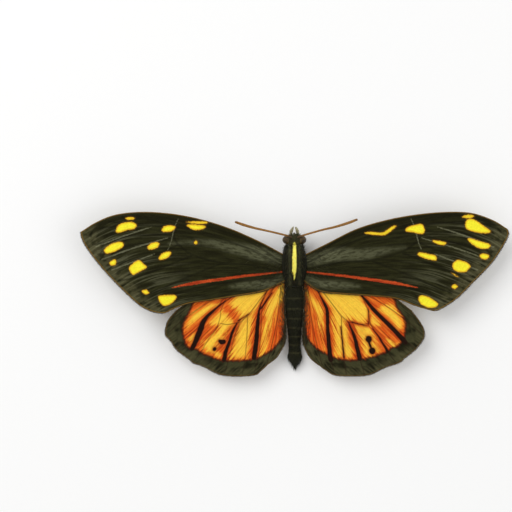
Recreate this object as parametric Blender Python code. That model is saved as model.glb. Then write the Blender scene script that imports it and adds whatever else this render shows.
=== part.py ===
"""A dried butterfly with its wings spread, standing on its feet on a flat surface.

Sizes are millimetres until they become mesh points, which are metres. X runs across the wings, Y from
the tail to the head, and Z up from the surface. The origin is on that surface, under the middle of the
outline. Every piece keeps a hair's gap to the piece that carries it.
"""

import math

import bpy
import numpy as np

MM = 0.001
GAP = 0.1  # between a piece and the one that carries it

# Driving dimensions of the specimen.
HALF_SPAN = 42.6  # body axis to either forewing tip
WING_THICKNESS = 0.22
FOREWING_LEVEL = 5.4  # upper face of the forewing at its root
HINDWING_LEVEL = 4.75  # the hindwing lies under the forewing
WING_RISE = 0.055  # upward slope of both wings at the root
WING_SAG = 0.0007  # how fast that slope levels out towards the tips
ROOT_REACH = 2.4  # distance from the axis at which the wings start to rise

# Outlines of the four wings as seen from above, in units of the half span. X is the distance from the
# body axis to either side. Each edge runs away from the body, and the outer one from front to back.
RIGHT_FOREWING = {
    "front": [(0.085, 0.209), (0.148, 0.235), (0.289, 0.305), (0.429, 0.347), (0.570, 0.373),
              (0.711, 0.385), (0.828, 0.380), (0.927, 0.347), (0.992, 0.308)],
    "outer": [(0.992, 0.308), (1.000, 0.282), (0.979, 0.235), (0.923, 0.150), (0.843, 0.066),
              (0.758, -0.019), (0.683, -0.068), (0.648, -0.077)],
    "back": [(0.627, -0.073), (0.566, -0.054), (0.477, -0.021), (0.378, -0.009), (0.237, 0.000),
             (0.120, 0.014), (0.075, 0.040)],
}
LEFT_FOREWING = {
    "front": [(0.082, 0.207), (0.162, 0.246), (0.303, 0.308), (0.444, 0.352), (0.585, 0.378),
              (0.725, 0.385), (0.842, 0.371), (0.930, 0.336), (1.000, 0.292)],
    "outer": [(1.000, 0.292), (0.993, 0.258), (0.963, 0.205), (0.898, 0.122), (0.819, 0.037),
              (0.729, -0.047), (0.668, -0.080), (0.620, -0.089)],
    "back": [(0.600, -0.086), (0.561, -0.066), (0.491, -0.042), (0.397, -0.028), (0.279, -0.009),
             (0.150, 0.014), (0.075, 0.040)],
}
RIGHT_HINDWING = {
    "front": [(0.075, 0.100), (0.160, 0.122), (0.290, 0.098), (0.400, 0.038), (0.481, -0.023),
              (0.547, -0.075)],
    "outer": [(0.547, -0.075), (0.589, -0.131), (0.610, -0.178), (0.603, -0.216), (0.566, -0.263),
              (0.519, -0.300), (0.495, -0.322), (0.425, -0.347), (0.354, -0.380), (0.284, -0.387),
              (0.190, -0.383), (0.143, -0.357)],
    "back": [(0.122, -0.342), (0.082, -0.310), (0.054, -0.263), (0.042, -0.221), (0.042, -0.170),
             (0.047, -0.080), (0.052, 0.020)],
}
LEFT_HINDWING = {
    "front": [(0.075, 0.100), (0.160, 0.122), (0.290, 0.098), (0.400, 0.038), (0.485, -0.023),
              (0.553, -0.075)],
    "outer": [(0.553, -0.075), (0.594, -0.127), (0.606, -0.188), (0.580, -0.221), (0.552, -0.263),
              (0.491, -0.310), (0.472, -0.326), (0.430, -0.340), (0.354, -0.378), (0.293, -0.387),
              (0.232, -0.387), (0.176, -0.380), (0.157, -0.361)],
    "back": [(0.124, -0.333), (0.087, -0.305), (0.063, -0.268), (0.049, -0.239), (0.042, -0.190),
             (0.047, -0.080), (0.052, 0.020)],
}
FOREWING_CELLS = (20, 14)  # steps from root to outer edge, and from front to back
HINDWING_CELLS = (13, 17)
FOREWING_CAMBER = 0.55  # how far the middle of the wing bows up
HINDWING_CAMBER = 0.25
HINDWING_DROOP = 0.055  # fall of the hindwing for each millimetre behind its root
FOREWING_ROOT = (8.0, 2.6)  # Y at the front and the back of the wing's root
HINDWING_ROOT = (4.4, 2.2)

# Stations of the body, front to back: Y, height of the middle, half width, half height.
HEAD = [(11.85, 4.40, 0.40, 0.45), (11.65, 4.45, 0.95, 0.85), (11.25, 4.50, 1.25, 1.15),
        (10.60, 4.50, 1.35, 1.30), (10.10, 4.50, 1.30, 1.20), (9.85, 4.50, 1.00, 0.95)]
THORAX = [(9.75, 4.50, 1.45, 1.15), (9.55, 4.48, 1.85, 1.50), (8.70, 4.40, 2.10, 2.15),
          (7.40, 4.35, 2.40, 2.50), (5.40, 4.30, 2.50, 2.60), (3.60, 4.20, 2.35, 2.40),
          (2.20, 4.05, 1.90, 1.95), (1.55, 3.95, 1.40, 1.45)]
ABDOMEN = [(1.45, 3.90, 1.40, 1.40), (1.05, 3.85, 1.60, 1.60), (-0.60, 3.55, 1.75, 1.75),
           (-3.80, 2.80, 1.72, 1.65), (-7.00, 1.95, 1.42, 1.45), (-9.50, 1.25, 1.18, 1.28),
           (-11.40, 1.10, 1.20, 1.32), (-12.80, 1.10, 1.45, 1.38), (-13.70, 1.10, 1.10, 1.15),
           (-14.60, 1.05, 0.50, 0.60), (-15.40, 1.00, 0.12, 0.14)]
ABDOMEN_LEAN = 0.014  # sideways drift to the right for each millimetre behind the thorax
BODY_SIDES = 16
HEAD_FLAT = 1.05  # half width at which the head is cut flat for the eyes
EYE_DOME = (1.25, 0.98, 1.20)  # half sizes across, along and up
EYE_MIDDLE = (10.85, 4.5)  # Y and Z

# Thin pieces: each station is X out from the axis, Y, Z and radius.
RIGHT_ANTENNA = [(0.60, 11.28, 5.89, 0.21), (1.3, 11.6, 6.1, 0.20), (3.9, 12.35, 6.5, 0.20),
                 (5.7, 12.85, 6.7, 0.21), (8.1, 13.4, 6.9, 0.24), (10.7, 14.2, 7.2, 0.28),
                 (12.5, 14.9, 7.4, 0.23)]
LEFT_ANTENNA = [(0.60, 11.28, 5.89, 0.21), (1.3, 11.6, 6.1, 0.20), (3.9, 12.25, 6.5, 0.20),
                (5.9, 12.7, 6.7, 0.21), (8.0, 13.17, 6.9, 0.24), (10.2, 13.8, 7.2, 0.28),
                (11.9, 14.4, 7.4, 0.23)]
ANTENNA_STEPS = 14
PALP = [(0.70, 12.04, 4.15, 0.24), (0.64, 12.40, 4.35, 0.28), (0.44, 12.90, 4.70, 0.21),
        (0.20, 13.40, 5.00, 0.07)]
PALP_STEPS = 5
FORELEG = [(0.75, 8.80, 2.30, 0.17), (1.15, 9.55, 1.80, 0.15), (0.75, 10.25, 1.95, 0.10)]
MIDDLE_LEG = [(1.45, 6.30, 1.65, 0.30), (2.80, 6.90, 2.05, 0.26), (4.60, 7.30, 2.50, 0.19),
              (5.90, 6.20, 1.40, 0.16), (7.00, 5.10, 0.35, 0.15), (8.30, 4.40, 0.13, 0.15),
              (9.60, 3.80, 0.13, 0.15)]
HIND_LEG = [(1.35, 4.10, 1.70, 0.30), (2.60, 3.20, 2.00, 0.26), (4.20, 1.90, 2.40, 0.19),
            (5.20, 0.00, 1.30, 0.16), (6.10, -1.80, 0.35, 0.15), (7.00, -3.30, 0.13, 0.15),
            (7.80, -4.90, 0.13, 0.15)]
THIN_SIDES = 6

TONGUE_MIDDLE = (11.45, 2.20)  # Y and Z of the coil's centre
TONGUE_RADII = (0.22, 0.84)  # centreline of the innermost and the outermost turn
TONGUE_TURNS = 1.75
TONGUE_THICKNESS = 0.30
TONGUE_STEPS = 30

# Colour, roughness.
BLACK_SCALES = ((0.016, 0.015, 0.008), 0.75)
HINDWING_SCALES = ((0.45, 0.14, 0.015), 0.75)
BODY_HAIR = ((0.018, 0.016, 0.009), 0.85)
EYE_BROWN = ((0.050, 0.028, 0.022), 0.25)
ANTENNA_OCHRE = ((0.270, 0.145, 0.035), 0.55)
PALP_CREAM = ((0.480, 0.420, 0.260), 0.80)
LEG_BROWN = ((0.045, 0.030, 0.015), 0.60)


def clear_scene():
    for obj in list(bpy.data.objects):
        bpy.data.objects.remove(obj)


def material(name, finish):
    """A Principled material of one colour and roughness."""
    colour, roughness = finish
    made = bpy.data.materials.new(name)
    made.use_nodes = True
    shader = made.node_tree.nodes["Principled BSDF"]
    shader.inputs["Base Color"].default_value = (*colour, 1.0)
    shader.inputs["Roughness"].default_value = roughness
    return made


def smooth_curve(stations, count):
    """Points evenly spaced along a Catmull-Rom curve through the stations, radii and all."""
    known = np.array(stations, float)
    ends = np.vstack([2 * known[0] - known[1], known, 2 * known[-1] - known[-2]])
    t = np.linspace(0, 1, 24, endpoint=False)[:, None]
    spans = []
    for a, b, c, d in zip(ends, ends[1:], ends[2:], ends[3:]):
        spans.append(0.5 * (2 * b + (c - a) * t + (2 * a - 5 * b + 4 * c - d) * t**2
                            + (3 * b - a - 3 * c + d) * t**3))
    fine = np.vstack([*spans, known[-1:]])
    along = np.concatenate([[0], np.cumsum(np.linalg.norm(np.diff(fine, axis=0), axis=1))])
    at = np.linspace(0, along[-1], count)
    return np.column_stack([np.interp(at, along, column) for column in fine.T])


def add_solid(name, points, faces, finish):
    """One object from points in millimetres, shaded smooth but for its sharp edges."""
    mesh = bpy.data.meshes.new(name)
    mesh.from_pydata([tuple(p) for p in np.asarray(points) * MM], [], faces)
    mesh.validate()
    mesh.materials.append(finish)
    mesh.shade_smooth()
    mesh.set_sharp_from_angle(angle=math.radians(50))
    obj = bpy.data.objects.new(name, mesh)
    bpy.context.scene.collection.objects.link(obj)
    return obj


def loft(name, rings, finish):
    """A closed solid through rings of equal length, each one running anticlockwise as seen from the next."""
    count, sides = rings.shape[:2]
    faces = []
    for i in range(count - 1):
        for j in range(sides):
            k = (j + 1) % sides
            faces.append((i * sides + j, i * sides + k, (i + 1) * sides + k, (i + 1) * sides + j))
    faces.append(tuple(reversed(range(sides))))
    faces.append(tuple(range((count - 1) * sides, count * sides)))
    return add_solid(name, rings.reshape(-1, 3), faces, finish)


def body_piece(name, stations, count, finish, flat=None, lean=0.0):
    """A solid of elliptical rings along Y. Its sides are cut flat at `flat`, and its sole at the surface."""
    profile = smooth_curve(stations, count)
    turn = np.arange(BODY_SIDES) * 2 * math.pi / BODY_SIDES
    x = profile[:, 2:3] * np.sin(turn) + lean * (profile[0, 0] - profile[:, :1])
    z = profile[:, 1:2] - profile[:, 3:4] * np.cos(turn)
    if flat:
        x = np.clip(x, -flat, flat)
    y = np.repeat(profile[:, :1], BODY_SIDES, axis=1)
    return loft(name, np.stack([x, y, np.maximum(z, 0.0)], axis=2), finish)


def tube(name, stations, steps, finish, side=1):
    """A round rod through the stations, with a flat underneath. `side` -1 puts it on the left."""
    line = smooth_curve(stations, steps)
    centres = line[:, :3] * (side, 1, 1)
    ahead = np.gradient(centres, axis=0)
    ahead /= np.linalg.norm(ahead, axis=1, keepdims=True)
    across = np.cross(ahead, (0.0, 0.0, 1.0))
    across /= np.linalg.norm(across, axis=1, keepdims=True)
    upward = np.cross(across, ahead)
    turn = (np.arange(THIN_SIDES) + 0.5) * 2 * math.pi / THIN_SIDES + math.pi / 2
    rings = (centres[:, None] + line[:, 3][:, None, None]
             * (np.cos(turn)[:, None] * across[:, None] + np.sin(turn)[:, None] * upward[:, None]))
    rings[..., 2] = np.maximum(rings[..., 2], 0.0)
    return loft(name, rings[:, ::-1], finish)


def thorax_side(y, z):
    """Half width of the thorax at a place along it and a height."""
    profile = smooth_curve(THORAX, 60)[::-1]
    middle, wide, high = (np.interp(y, profile[:, 0], profile[:, i]) for i in (1, 2, 3))
    return wide * np.sqrt(np.clip(1 - ((z - middle) / high) ** 2, 0.05, 1))


def coons(front, back, root, outer):
    """A grid of points filled in between four edges, by adding the two rulings and taking off the corners."""
    u = np.linspace(0, 1, len(front))[:, None, None]
    v = np.linspace(0, 1, len(root))[None, :, None]
    ruled = (1 - v) * front[:, None] + v * back[:, None] + (1 - u) * root[None] + u * outer[None]
    corners = ((1 - u) * (1 - v) * root[0] + (1 - u) * v * root[-1]
               + u * (1 - v) * outer[0] + u * v * outer[-1])
    return ruled - corners


def wing_plan(outline, cells, root_span, level):
    """The wing's grid seen from above, as X out from the axis and Y."""
    along, across = cells
    root_y = np.linspace(*root_span, across + 1)
    root_x = thorax_side(root_y, level - WING_THICKNESS) + GAP
    root = np.column_stack([root_x, root_y])
    front = np.array(outline["front"]) * HALF_SPAN
    back = np.array(outline["back"])[::-1] * HALF_SPAN
    outer = np.array(outline["outer"]) * HALF_SPAN
    front[0], back[0] = root[0], root[-1]
    outer = np.vstack([outer, back[-1:]])
    return coons(smooth_curve(front, along + 1), smooth_curve(back, along + 1), root,
                 smooth_curve(outer, across + 1))


def wing(name, outline, cells, root_span, level, camber, droop, finish, side):
    """A thin wing: the plan lifted to its height, with a lower face a thickness below the upper."""
    plan = wing_plan(outline, cells, root_span, level)
    reach = np.clip(plan[..., 0] - ROOT_REACH, 0, None)
    bow = np.outer(np.sin(math.pi * np.linspace(0, 1, cells[0] + 1)),
                   np.sin(math.pi * np.linspace(0, 1, cells[1] + 1)))
    fall = droop * np.clip(root_span[1] - plan[..., 1], 0, None)
    z = level + WING_RISE * reach - WING_SAG * reach**2 + camber * bow - fall
    upper = np.dstack([plan[..., 0] * side, plan[..., 1], z])
    lower = upper - (0, 0, WING_THICKNESS)
    rows, columns = z.shape
    index = np.arange(rows * columns).reshape(rows, columns)
    faces = []
    for i in range(rows - 1):
        for j in range(columns - 1):
            a, b, c, d = index[i, j], index[i, j + 1], index[i + 1, j + 1], index[i + 1, j]
            faces.append((a, b, c, d))
            faces.append(tuple(n + rows * columns for n in (d, c, b, a)))
    rim = [*index[0, :-1], *index[:-1, -1], *index[-1, :0:-1], *index[:0:-1, 0]]
    for a, b in zip(rim, rim[1:] + rim[:1]):
        faces.append((b, a, a + rows * columns, b + rows * columns))
    if side < 0:
        faces = [tuple(reversed(face)) for face in faces]
    points = np.vstack([upper.reshape(-1, 3), lower.reshape(-1, 3)])
    return add_solid(name, points, [tuple(int(n) for n in face) for face in faces], finish)


def eye(name, finish, side):
    """Half an ellipsoid, with its flat side against the cheek."""
    rings = []
    for lift in np.linspace(0, 0.94, 6) * math.pi / 2:
        turn = np.arange(BODY_SIDES) * 2 * math.pi / BODY_SIDES
        x = np.full(BODY_SIDES, HEAD_FLAT + GAP + EYE_DOME[0] * math.sin(lift))
        y = EYE_MIDDLE[0] + EYE_DOME[1] * math.cos(lift) * np.cos(turn) * side
        z = EYE_MIDDLE[1] + EYE_DOME[2] * math.cos(lift) * np.sin(turn)
        rings.append(np.column_stack([x * side, y, z]))
    return loft(name, np.array(rings), finish)


def tongue(name, finish):
    """The tongue rolled up under the head, with its outer end rising to the mouth."""
    share = np.linspace(0, 1, TONGUE_STEPS)
    turn = math.radians(60) - (1 - share) * TONGUE_TURNS * 2 * math.pi
    radius = TONGUE_RADII[0] + (TONGUE_RADII[1] - TONGUE_RADII[0]) * share
    centre_y = TONGUE_MIDDLE[0] + radius * np.cos(turn)
    centre_z = TONGUE_MIDDLE[1] + radius * np.sin(turn)
    half = TONGUE_THICKNESS / 2
    rings = []
    for y, z, a in zip(centre_y, centre_z, turn):
        outward = np.array([0.0, math.cos(a), math.sin(a)])
        ring = [np.array([0.0, y, z]) + half * (math.cos(t) * np.array([1.0, 0, 0]) + math.sin(t) * outward)
                for t in np.arange(THIN_SIDES) * 2 * math.pi / THIN_SIDES]
        rings.append(ring)
    return loft(name, np.array(rings), finish)


def build():
    clear_scene()
    black = material("wing_black", BLACK_SCALES)
    orange = material("hindwing_orange", HINDWING_SCALES)
    hair = material("body_hair", BODY_HAIR)
    brown = material("eye_brown", EYE_BROWN)
    ochre = material("antenna_ochre", ANTENNA_OCHRE)
    cream = material("palp_cream", PALP_CREAM)
    horn = material("leg_brown", LEG_BROWN)
    body_piece("head", HEAD, 8, hair, flat=HEAD_FLAT)
    body_piece("thorax", THORAX, 11, hair)
    body_piece("abdomen", ABDOMEN, 18, hair, lean=ABDOMEN_LEAN)
    tongue("tongue", horn)
    sides = (("left", -1, LEFT_FOREWING, LEFT_HINDWING, LEFT_ANTENNA),
             ("right", 1, RIGHT_FOREWING, RIGHT_HINDWING, RIGHT_ANTENNA))
    for word, side, fore, hind, antenna in sides:
        wing(f"{word}_forewing", fore, FOREWING_CELLS, FOREWING_ROOT, FOREWING_LEVEL,
             FOREWING_CAMBER, 0.0, black, side)
        wing(f"{word}_hindwing", hind, HINDWING_CELLS, HINDWING_ROOT, HINDWING_LEVEL,
             HINDWING_CAMBER, HINDWING_DROOP, orange, side)
        eye(f"{word}_eye", brown, side)
        tube(f"{word}_antenna", antenna, ANTENNA_STEPS, ochre, side)
        tube(f"{word}_palp", PALP, PALP_STEPS, cream, side)
        tube(f"{word}_foreleg", FORELEG, 6, horn, side)
        tube(f"{word}_middle_leg", MIDDLE_LEG, 13, horn, side)
        tube(f"{word}_hind_leg", HIND_LEG, 13, horn, side)


build()
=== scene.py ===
"""A dried butterfly with open wings, standing on its feet and tail on a plain surface.

Sizes are millimetres until they become mesh points, which are metres. X runs across the wings, Y from the
tail to the head, and Z up from the surface. Each piece stands in for the plain solid of the same place.
"""

import math

import bpy
import numpy as np
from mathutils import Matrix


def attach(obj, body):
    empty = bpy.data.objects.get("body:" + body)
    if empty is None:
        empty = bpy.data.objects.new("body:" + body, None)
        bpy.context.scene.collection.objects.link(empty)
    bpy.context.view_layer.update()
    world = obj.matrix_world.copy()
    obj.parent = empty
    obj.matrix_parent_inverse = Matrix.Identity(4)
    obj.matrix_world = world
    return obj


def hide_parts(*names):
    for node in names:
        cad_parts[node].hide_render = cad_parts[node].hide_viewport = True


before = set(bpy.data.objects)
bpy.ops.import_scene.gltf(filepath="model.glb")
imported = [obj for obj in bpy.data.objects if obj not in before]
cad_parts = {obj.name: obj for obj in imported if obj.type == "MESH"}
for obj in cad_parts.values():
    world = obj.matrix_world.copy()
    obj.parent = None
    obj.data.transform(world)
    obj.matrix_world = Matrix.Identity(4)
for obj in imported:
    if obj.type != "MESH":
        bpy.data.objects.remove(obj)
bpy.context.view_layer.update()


# Thorax.
# The middle of the body is a hard shell, grown in one piece and full of flight muscle. A thick coat of
# black and olive hairs hides it, and a stripe of short yellow scales runs down the middle of the back.

MM = 0.001
THORAX = [(9.75, 4.50, 1.45, 1.15), (9.55, 4.48, 1.85, 1.50), (8.70, 4.40, 2.10, 2.15),
          (7.40, 4.35, 2.40, 2.50), (5.40, 4.30, 2.50, 2.60), (3.60, 4.20, 2.35, 2.40),
          (2.20, 4.05, 1.90, 1.95), (1.55, 3.95, 1.40, 1.45)]  # Y, middle height, half width, half height
THORAX_RINGS = (72, 64)
BACK_LEVEL = 4.6  # height from which the body's upper side is counted as its back
PANEL_OUT = 0.95  # from the middle line to the middle of either paler panel of the back
STRIPE_ENDS = (3.2, 10.4)  # Y of the yellow stripe's two ends, of which the front one is on the head
STRIPE_TAPERS = (2.2, 0.6)  # how far the stripe narrows at its hind and at its front end
STRIPE_HALF = 0.37
STRIPE_SCALES = 900
STRIPE_SCALE_LENGTHS = (0.25, 0.45)
THORAX_HAIRS = 4200
THORAX_HAIR_LENGTHS = (0.5, 1.05)
WING_JOINT = (1.9, 5.0, 0.75)  # no hair grows farther out than this, nearer than this to this height
RUFF_FROM = 8.9  # Y from which the hairs stand forward around the neck
HAIR_POINTS = 7  # of one strand
HAIR_BLACK = ((24, 24, 8), (96, 96, 62))  # each pair is a colour's darkest and its lightest tone
HAIR_BROWN = ((44, 34, 16), (98, 76, 42))
HAIR_GOLD = ((255, 216, 62), (255, 250, 118))


def srgb(red, green, blue):
    """A colour as screens write it, 0 to 255 a channel, turned into the linear numbers that shaders use."""
    share = np.array([red, green, blue]) / 255
    return tuple(np.where(share > 0.04, ((share + 0.055) / 1.055) ** 2.4, share / 12.92))


class Value:
    """An output of a node. Arithmetic on it adds the Math nodes that work the result out."""

    def __init__(self, paint, socket):
        self.paint = paint
        self.socket = socket

    def math(self, operation, *terms):
        return self.paint.node("ShaderNodeMath", {"operation": operation}, dict(enumerate(terms)))

    def __add__(self, other):
        return self.math("ADD", self, other)

    def __sub__(self, other):
        return self.math("SUBTRACT", self, other)

    def __rsub__(self, other):
        return self.math("SUBTRACT", other, self)

    def __mul__(self, other):
        return self.math("MULTIPLY", self, other)

    __radd__ = __add__
    __rmul__ = __mul__

    def above(self, low, high):
        """0 up to `low`, 1 from `high` on, and a smooth step between them."""
        return self.paint.node("ShaderNodeMapRange", {"interpolation_type": "SMOOTHSTEP"},
                               {"Value": self, "From Min": low, "From Max": high})

    def below(self, low, high):
        """1 up to `low`, 0 from `high` on, and a smooth step between them."""
        return 1 - self.above(low, high)

    def stretched(self, x, y, z):
        """This vector with each part of it multiplied."""
        return self.paint.node("ShaderNodeVectorMath", {"operation": "MULTIPLY"}, {0: self, 1: (x, y, z)})

    def parts(self):
        """The three numbers of this vector."""
        apart = self.paint.node("ShaderNodeSeparateXYZ", {}, {0: self})
        return [Value(self.paint, output) for output in apart.socket.node.outputs]


class Paint:
    """A material that is built up node by node."""

    def __init__(self, name, **constants):
        self.material = bpy.data.materials.new(name)
        self.material.use_nodes = True
        self.tree = self.material.node_tree
        self.shader = self.tree.nodes["Principled BSDF"]
        for socket, value in constants.items():
            self.shader.inputs[socket.replace("_", " ")].default_value = value

    def feed(self, socket, value):
        if isinstance(value, Value):
            self.tree.links.new(value.socket, socket)
        elif hasattr(value, "__len__") and len(socket.default_value) > len(value):
            socket.default_value = (*value, 1.0)
        else:
            socket.default_value = value

    def node(self, kind, settings, inputs, output=0):
        """Any node, from its type, its settings, which are set first, and its sockets' values or links."""
        made = self.tree.nodes.new(kind)
        for name, value in settings.items():
            setattr(made, name, value)
        for name, value in inputs.items():
            self.feed(made.inputs[name], value)
        return Value(self, made.outputs[output])

    def place(self):
        """Where on the object a point is, in millimetres."""
        metres = self.node("ShaderNodeTexCoord", {}, {}, "Object")
        return metres.stretched(1 / MM, 1 / MM, 1 / MM)

    def carried(self, name):
        """The three numbers that the mesh carries under this name."""
        return self.node("ShaderNodeAttribute", {"attribute_name": name}, {}, "Vector")

    def noise(self, vector, size, detail=2.0):
        """Noise about 0.5, with lumps about `size` across in the vector's own unit."""
        return self.node("ShaderNodeTexNoise", {}, {"Vector": vector, "Scale": 1 / size, "Detail": detail})

    def cells(self, vector, size, output="Distance"):
        """Irregular tiles about `size` across: the distance to a tile's middle, or its random colour."""
        return self.node("ShaderNodeTexVoronoi", {}, {"Vector": vector, "Scale": 1 / size}, output)

    def mix(self, factor, base, over):
        """The colour `base`, and `over` where the factor is 1. Either may be three numbers, 0 to 255."""
        base, over = (srgb(*colour) if isinstance(colour, tuple) else colour for colour in (base, over))
        return self.node("ShaderNodeMix", {"data_type": "RGBA"}, {0: factor, 6: base, 7: over}, 2)

    def finish(self, colour, roughness, height, depth):
        """Feeds the shader. `height` runs from 0 to 1 and stands for a relief `depth` millimetres deep."""
        bump = self.node("ShaderNodeBump", {}, {"Distance": depth * MM, "Height": height})
        self.feed(self.shader.inputs["Base Color"], colour)
        self.feed(self.shader.inputs["Roughness"], roughness)
        self.feed(self.shader.inputs["Normal"], bump)
        return self.material


def smooth_curve(stations, count, closed=False):
    """Evenly spaced points on a Catmull-Rom curve: between two stations it is the cubic whose slope at each
    is half the step from the station before to the one after. Further columns go along with it."""
    known = np.array(stations, float)
    if closed:
        known = np.vstack([known, known[:1]])
        ends = np.vstack([known[-2], known, known[1]])
    else:
        ends = np.vstack([2 * known[0] - known[1], known, 2 * known[-1] - known[-2]])
    a, b, c, d = (ends[i:len(ends) - 3 + i, None] for i in range(4))
    t = np.linspace(0, 1, 24, endpoint=False)[None, :, None]
    fine = 0.5 * (2 * b + (c - a) * t + (2 * a - 5 * b + 4 * c - d) * t**2
                  + (3 * b - a - 3 * c + d) * t**3)
    fine = np.vstack([fine.reshape(-1, known.shape[1]), known[-1:]])
    along = np.concatenate([[0], np.cumsum(np.linalg.norm(np.diff(fine, axis=0), axis=1))])
    at = np.linspace(0, along[-1], count)
    return np.column_stack([np.interp(at, along, column) for column in fine.T])


def unit(vectors):
    """The vectors at length 1."""
    return vectors / np.maximum(np.linalg.norm(vectors, axis=-1, keepdims=True), 1e-9)


def body_rings(stations, rings, lean=0.0, swell=None):
    """Ellipses across the body. A point at angle a is half width·sin a out and half height·cos a down
    from the middle line, times the swelling there, and is never below the surface it stands on."""
    profile = smooth_curve(stations, rings[0])
    turn = np.arange(rings[1]) * 2 * math.pi / rings[1]
    y, middle, wide, high = (profile[:, i:i + 1] for i in range(4))
    grown = 1.0 if swell is None else swell(y, turn)
    x = grown * wide * np.sin(turn) + lean * (profile[0, 0] - y)
    z = middle - grown * high * np.cos(turn)
    return np.stack([x, np.broadcast_to(y, x.shape), np.maximum(z, 0.0)], axis=-1)


def closed(rings):
    """The rings as a grid that meets itself, with each ring's first point again after its last."""
    return np.concatenate([rings, rings[:, :1]], axis=1)


def skin(rings):
    """Points and polygons of a closed skin over rings, with a point in the middle of each end."""
    count, sides = rings.shape[:2]
    points = np.vstack([rings.reshape(-1, 3), rings[0].mean(axis=0), rings[-1].mean(axis=0)])
    index = np.arange(count * sides).reshape(count, sides)
    after = np.roll(index, -1, axis=1)
    quads = np.stack([index[:-1], after[:-1], after[1:], index[1:]], axis=-1).reshape(-1, 4)
    front = np.stack([after[0], index[0], np.full(sides, count * sides)], axis=-1)
    back = np.stack([index[-1], after[-1], np.full(sides, count * sides + 1)], axis=-1)
    return points, [quads, np.vstack([front, back])]


def scatter(surface, count, rng, chance=1.0):
    """Random places on a grid of points, as many to each bit of area, and the outward directions there."""
    a, b, c, d = surface[:-1, :-1], surface[:-1, 1:], surface[1:, 1:], surface[1:, :-1]
    facing = np.cross(c - a, d - b)
    share = (np.linalg.norm(facing, axis=-1) * chance).ravel()
    pick = rng.choice(len(share), count, p=share / share.sum())
    s, t = rng.random((2, count, 1))
    a, b, c, d, facing = (part.reshape(-1, 3)[pick] for part in (a, b, c, d, facing))
    return (1 - s) * (1 - t) * a + (1 - s) * t * b + s * t * c + s * (1 - t) * d, unit(facing)


def strands(roots, ways, lengths, width, droop=0.0, flat=1.0):
    """Three-sided hairs that taper to a point, their height `flat` times their width. Along its length t a
    hair's middle is root + way·length·t - droop·length·t² upward. Seven points and seven faces each."""
    lengths = np.broadcast_to(lengths, len(roots))[:, None]
    ways = unit(ways)
    fall = np.array([0, 0, -droop])
    across = unit(np.cross(ways, (0.13, 0.21, 0.97)))
    upward = np.cross(across, ways)
    turn = (np.arange(3) * 2 * math.pi / 3 + math.pi / 2)[None, :, None]
    around = np.cos(turn) * across[:, None] + flat * np.sin(turn) * upward[:, None]
    half = np.broadcast_to(width, len(roots))[:, None, None] / 2
    middle = roots + 0.5 * lengths * ways + 0.25 * lengths * fall
    tip = roots + lengths * ways + lengths * fall
    points = np.concatenate([roots[:, None] + half * around, middle[:, None] + 0.75 * half * around,
                             tip[:, None]], axis=1)
    first = HAIR_POINTS * np.arange(len(roots))[:, None, None]
    sides = np.array([[0, 1, 4, 3], [1, 2, 5, 4], [2, 0, 3, 5]]) + first
    ends = np.array([[3, 4, 6], [4, 5, 6], [5, 3, 6], [2, 1, 0]]) + first
    return points.reshape(-1, 3), [sides.reshape(-1, 4), ends.reshape(-1, 3)]


def add_piece(name, shape, material, slot, replaced=None, **carried):
    """A mesh object from points in millimetres and arrays of polygons, turned outwards if the space
    inside, the sum of a·(b×c) over all triangles, comes out negative. `carried` are numbers for each
    point, three to a name."""
    points, polygons = shape
    inside = 0.0
    for faces in polygons:
        for k in range(1, faces.shape[1] - 1):
            a, b, c = (points[faces[:, i]] for i in (0, k, k + 1))
            inside += np.einsum("ij,ij->", a, np.cross(b, c))
    if inside < 0:
        polygons = [faces[:, ::-1] for faces in polygons]
    corners = np.concatenate([faces.ravel() for faces in polygons]).astype(np.int32)
    counts = np.concatenate([np.full(len(faces), faces.shape[1]) for faces in polygons])
    starts = (np.cumsum(counts) - counts).astype(np.int32)
    mesh = bpy.data.meshes.new(name)
    mesh.vertices.add(len(points))
    mesh.vertices.foreach_set("co", (points * MM).astype(np.float32).ravel())
    mesh.loops.add(len(corners))
    mesh.loops.foreach_set("vertex_index", corners)
    mesh.polygons.add(len(counts))
    mesh.polygons.foreach_set("loop_start", starts)
    mesh.update(calc_edges=True)
    mesh.shade_smooth()
    for label, numbers in carried.items():
        layer = mesh.attributes.new(label, "FLOAT_VECTOR", "POINT")
        layer.data.foreach_set("vector", np.ascontiguousarray(numbers, np.float32).ravel())
    mesh.materials.append(material)
    piece = bpy.data.objects.new(name, mesh)
    bpy.context.scene.collection.objects.link(piece)
    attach(piece, "root")
    if replaced:
        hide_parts(replaced)
    return piece


def body_hair_paint():
    """Black to olive hair. The mesh carries how yellow, how brown and how light each place is."""
    paint = Paint("body_hair", Sheen_Weight=0.04, Specular_IOR_Level=0.12)
    yellow, brown, light = paint.carried("coat").parts()
    place = paint.place()
    fleck = paint.noise(place.stretched(3.0, 1.0, 3.0), 0.5, 3.0)
    dark = paint.mix((light + fleck - 0.5).above(0.2, 1.1), *HAIR_BLACK)
    warm = paint.mix((fleck + light * 0.3).above(0.35, 0.9), *HAIR_BROWN)
    gold = paint.mix(fleck.above(0.25, 0.55), *HAIR_GOLD)
    colour = paint.mix(yellow, paint.mix(brown, dark, warm), gold)
    return paint.finish(colour, fleck * 0.3 + 0.6, fleck, 0.08)


def stripe_share(x, y):
    """1 on the yellow stripe and 0 off it: its front end is round, and its hind end runs to a point."""
    taper = (np.clip((y - STRIPE_ENDS[0]) / STRIPE_TAPERS[0], 0, 1)
             * np.clip((STRIPE_ENDS[1] - y) / STRIPE_TAPERS[1], 0, 1))
    return np.clip((STRIPE_HALF * taper**0.5 - np.abs(x)) / 0.06, 0, 1)


def coat(points, light, brown=0.0, yellow=0.0):
    """How yellow, brown and light each point is, from numbers or from one value for each point."""
    return np.stack(np.broadcast_arrays(yellow, brown, light, points[:, 0])[:3], axis=-1)


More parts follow.
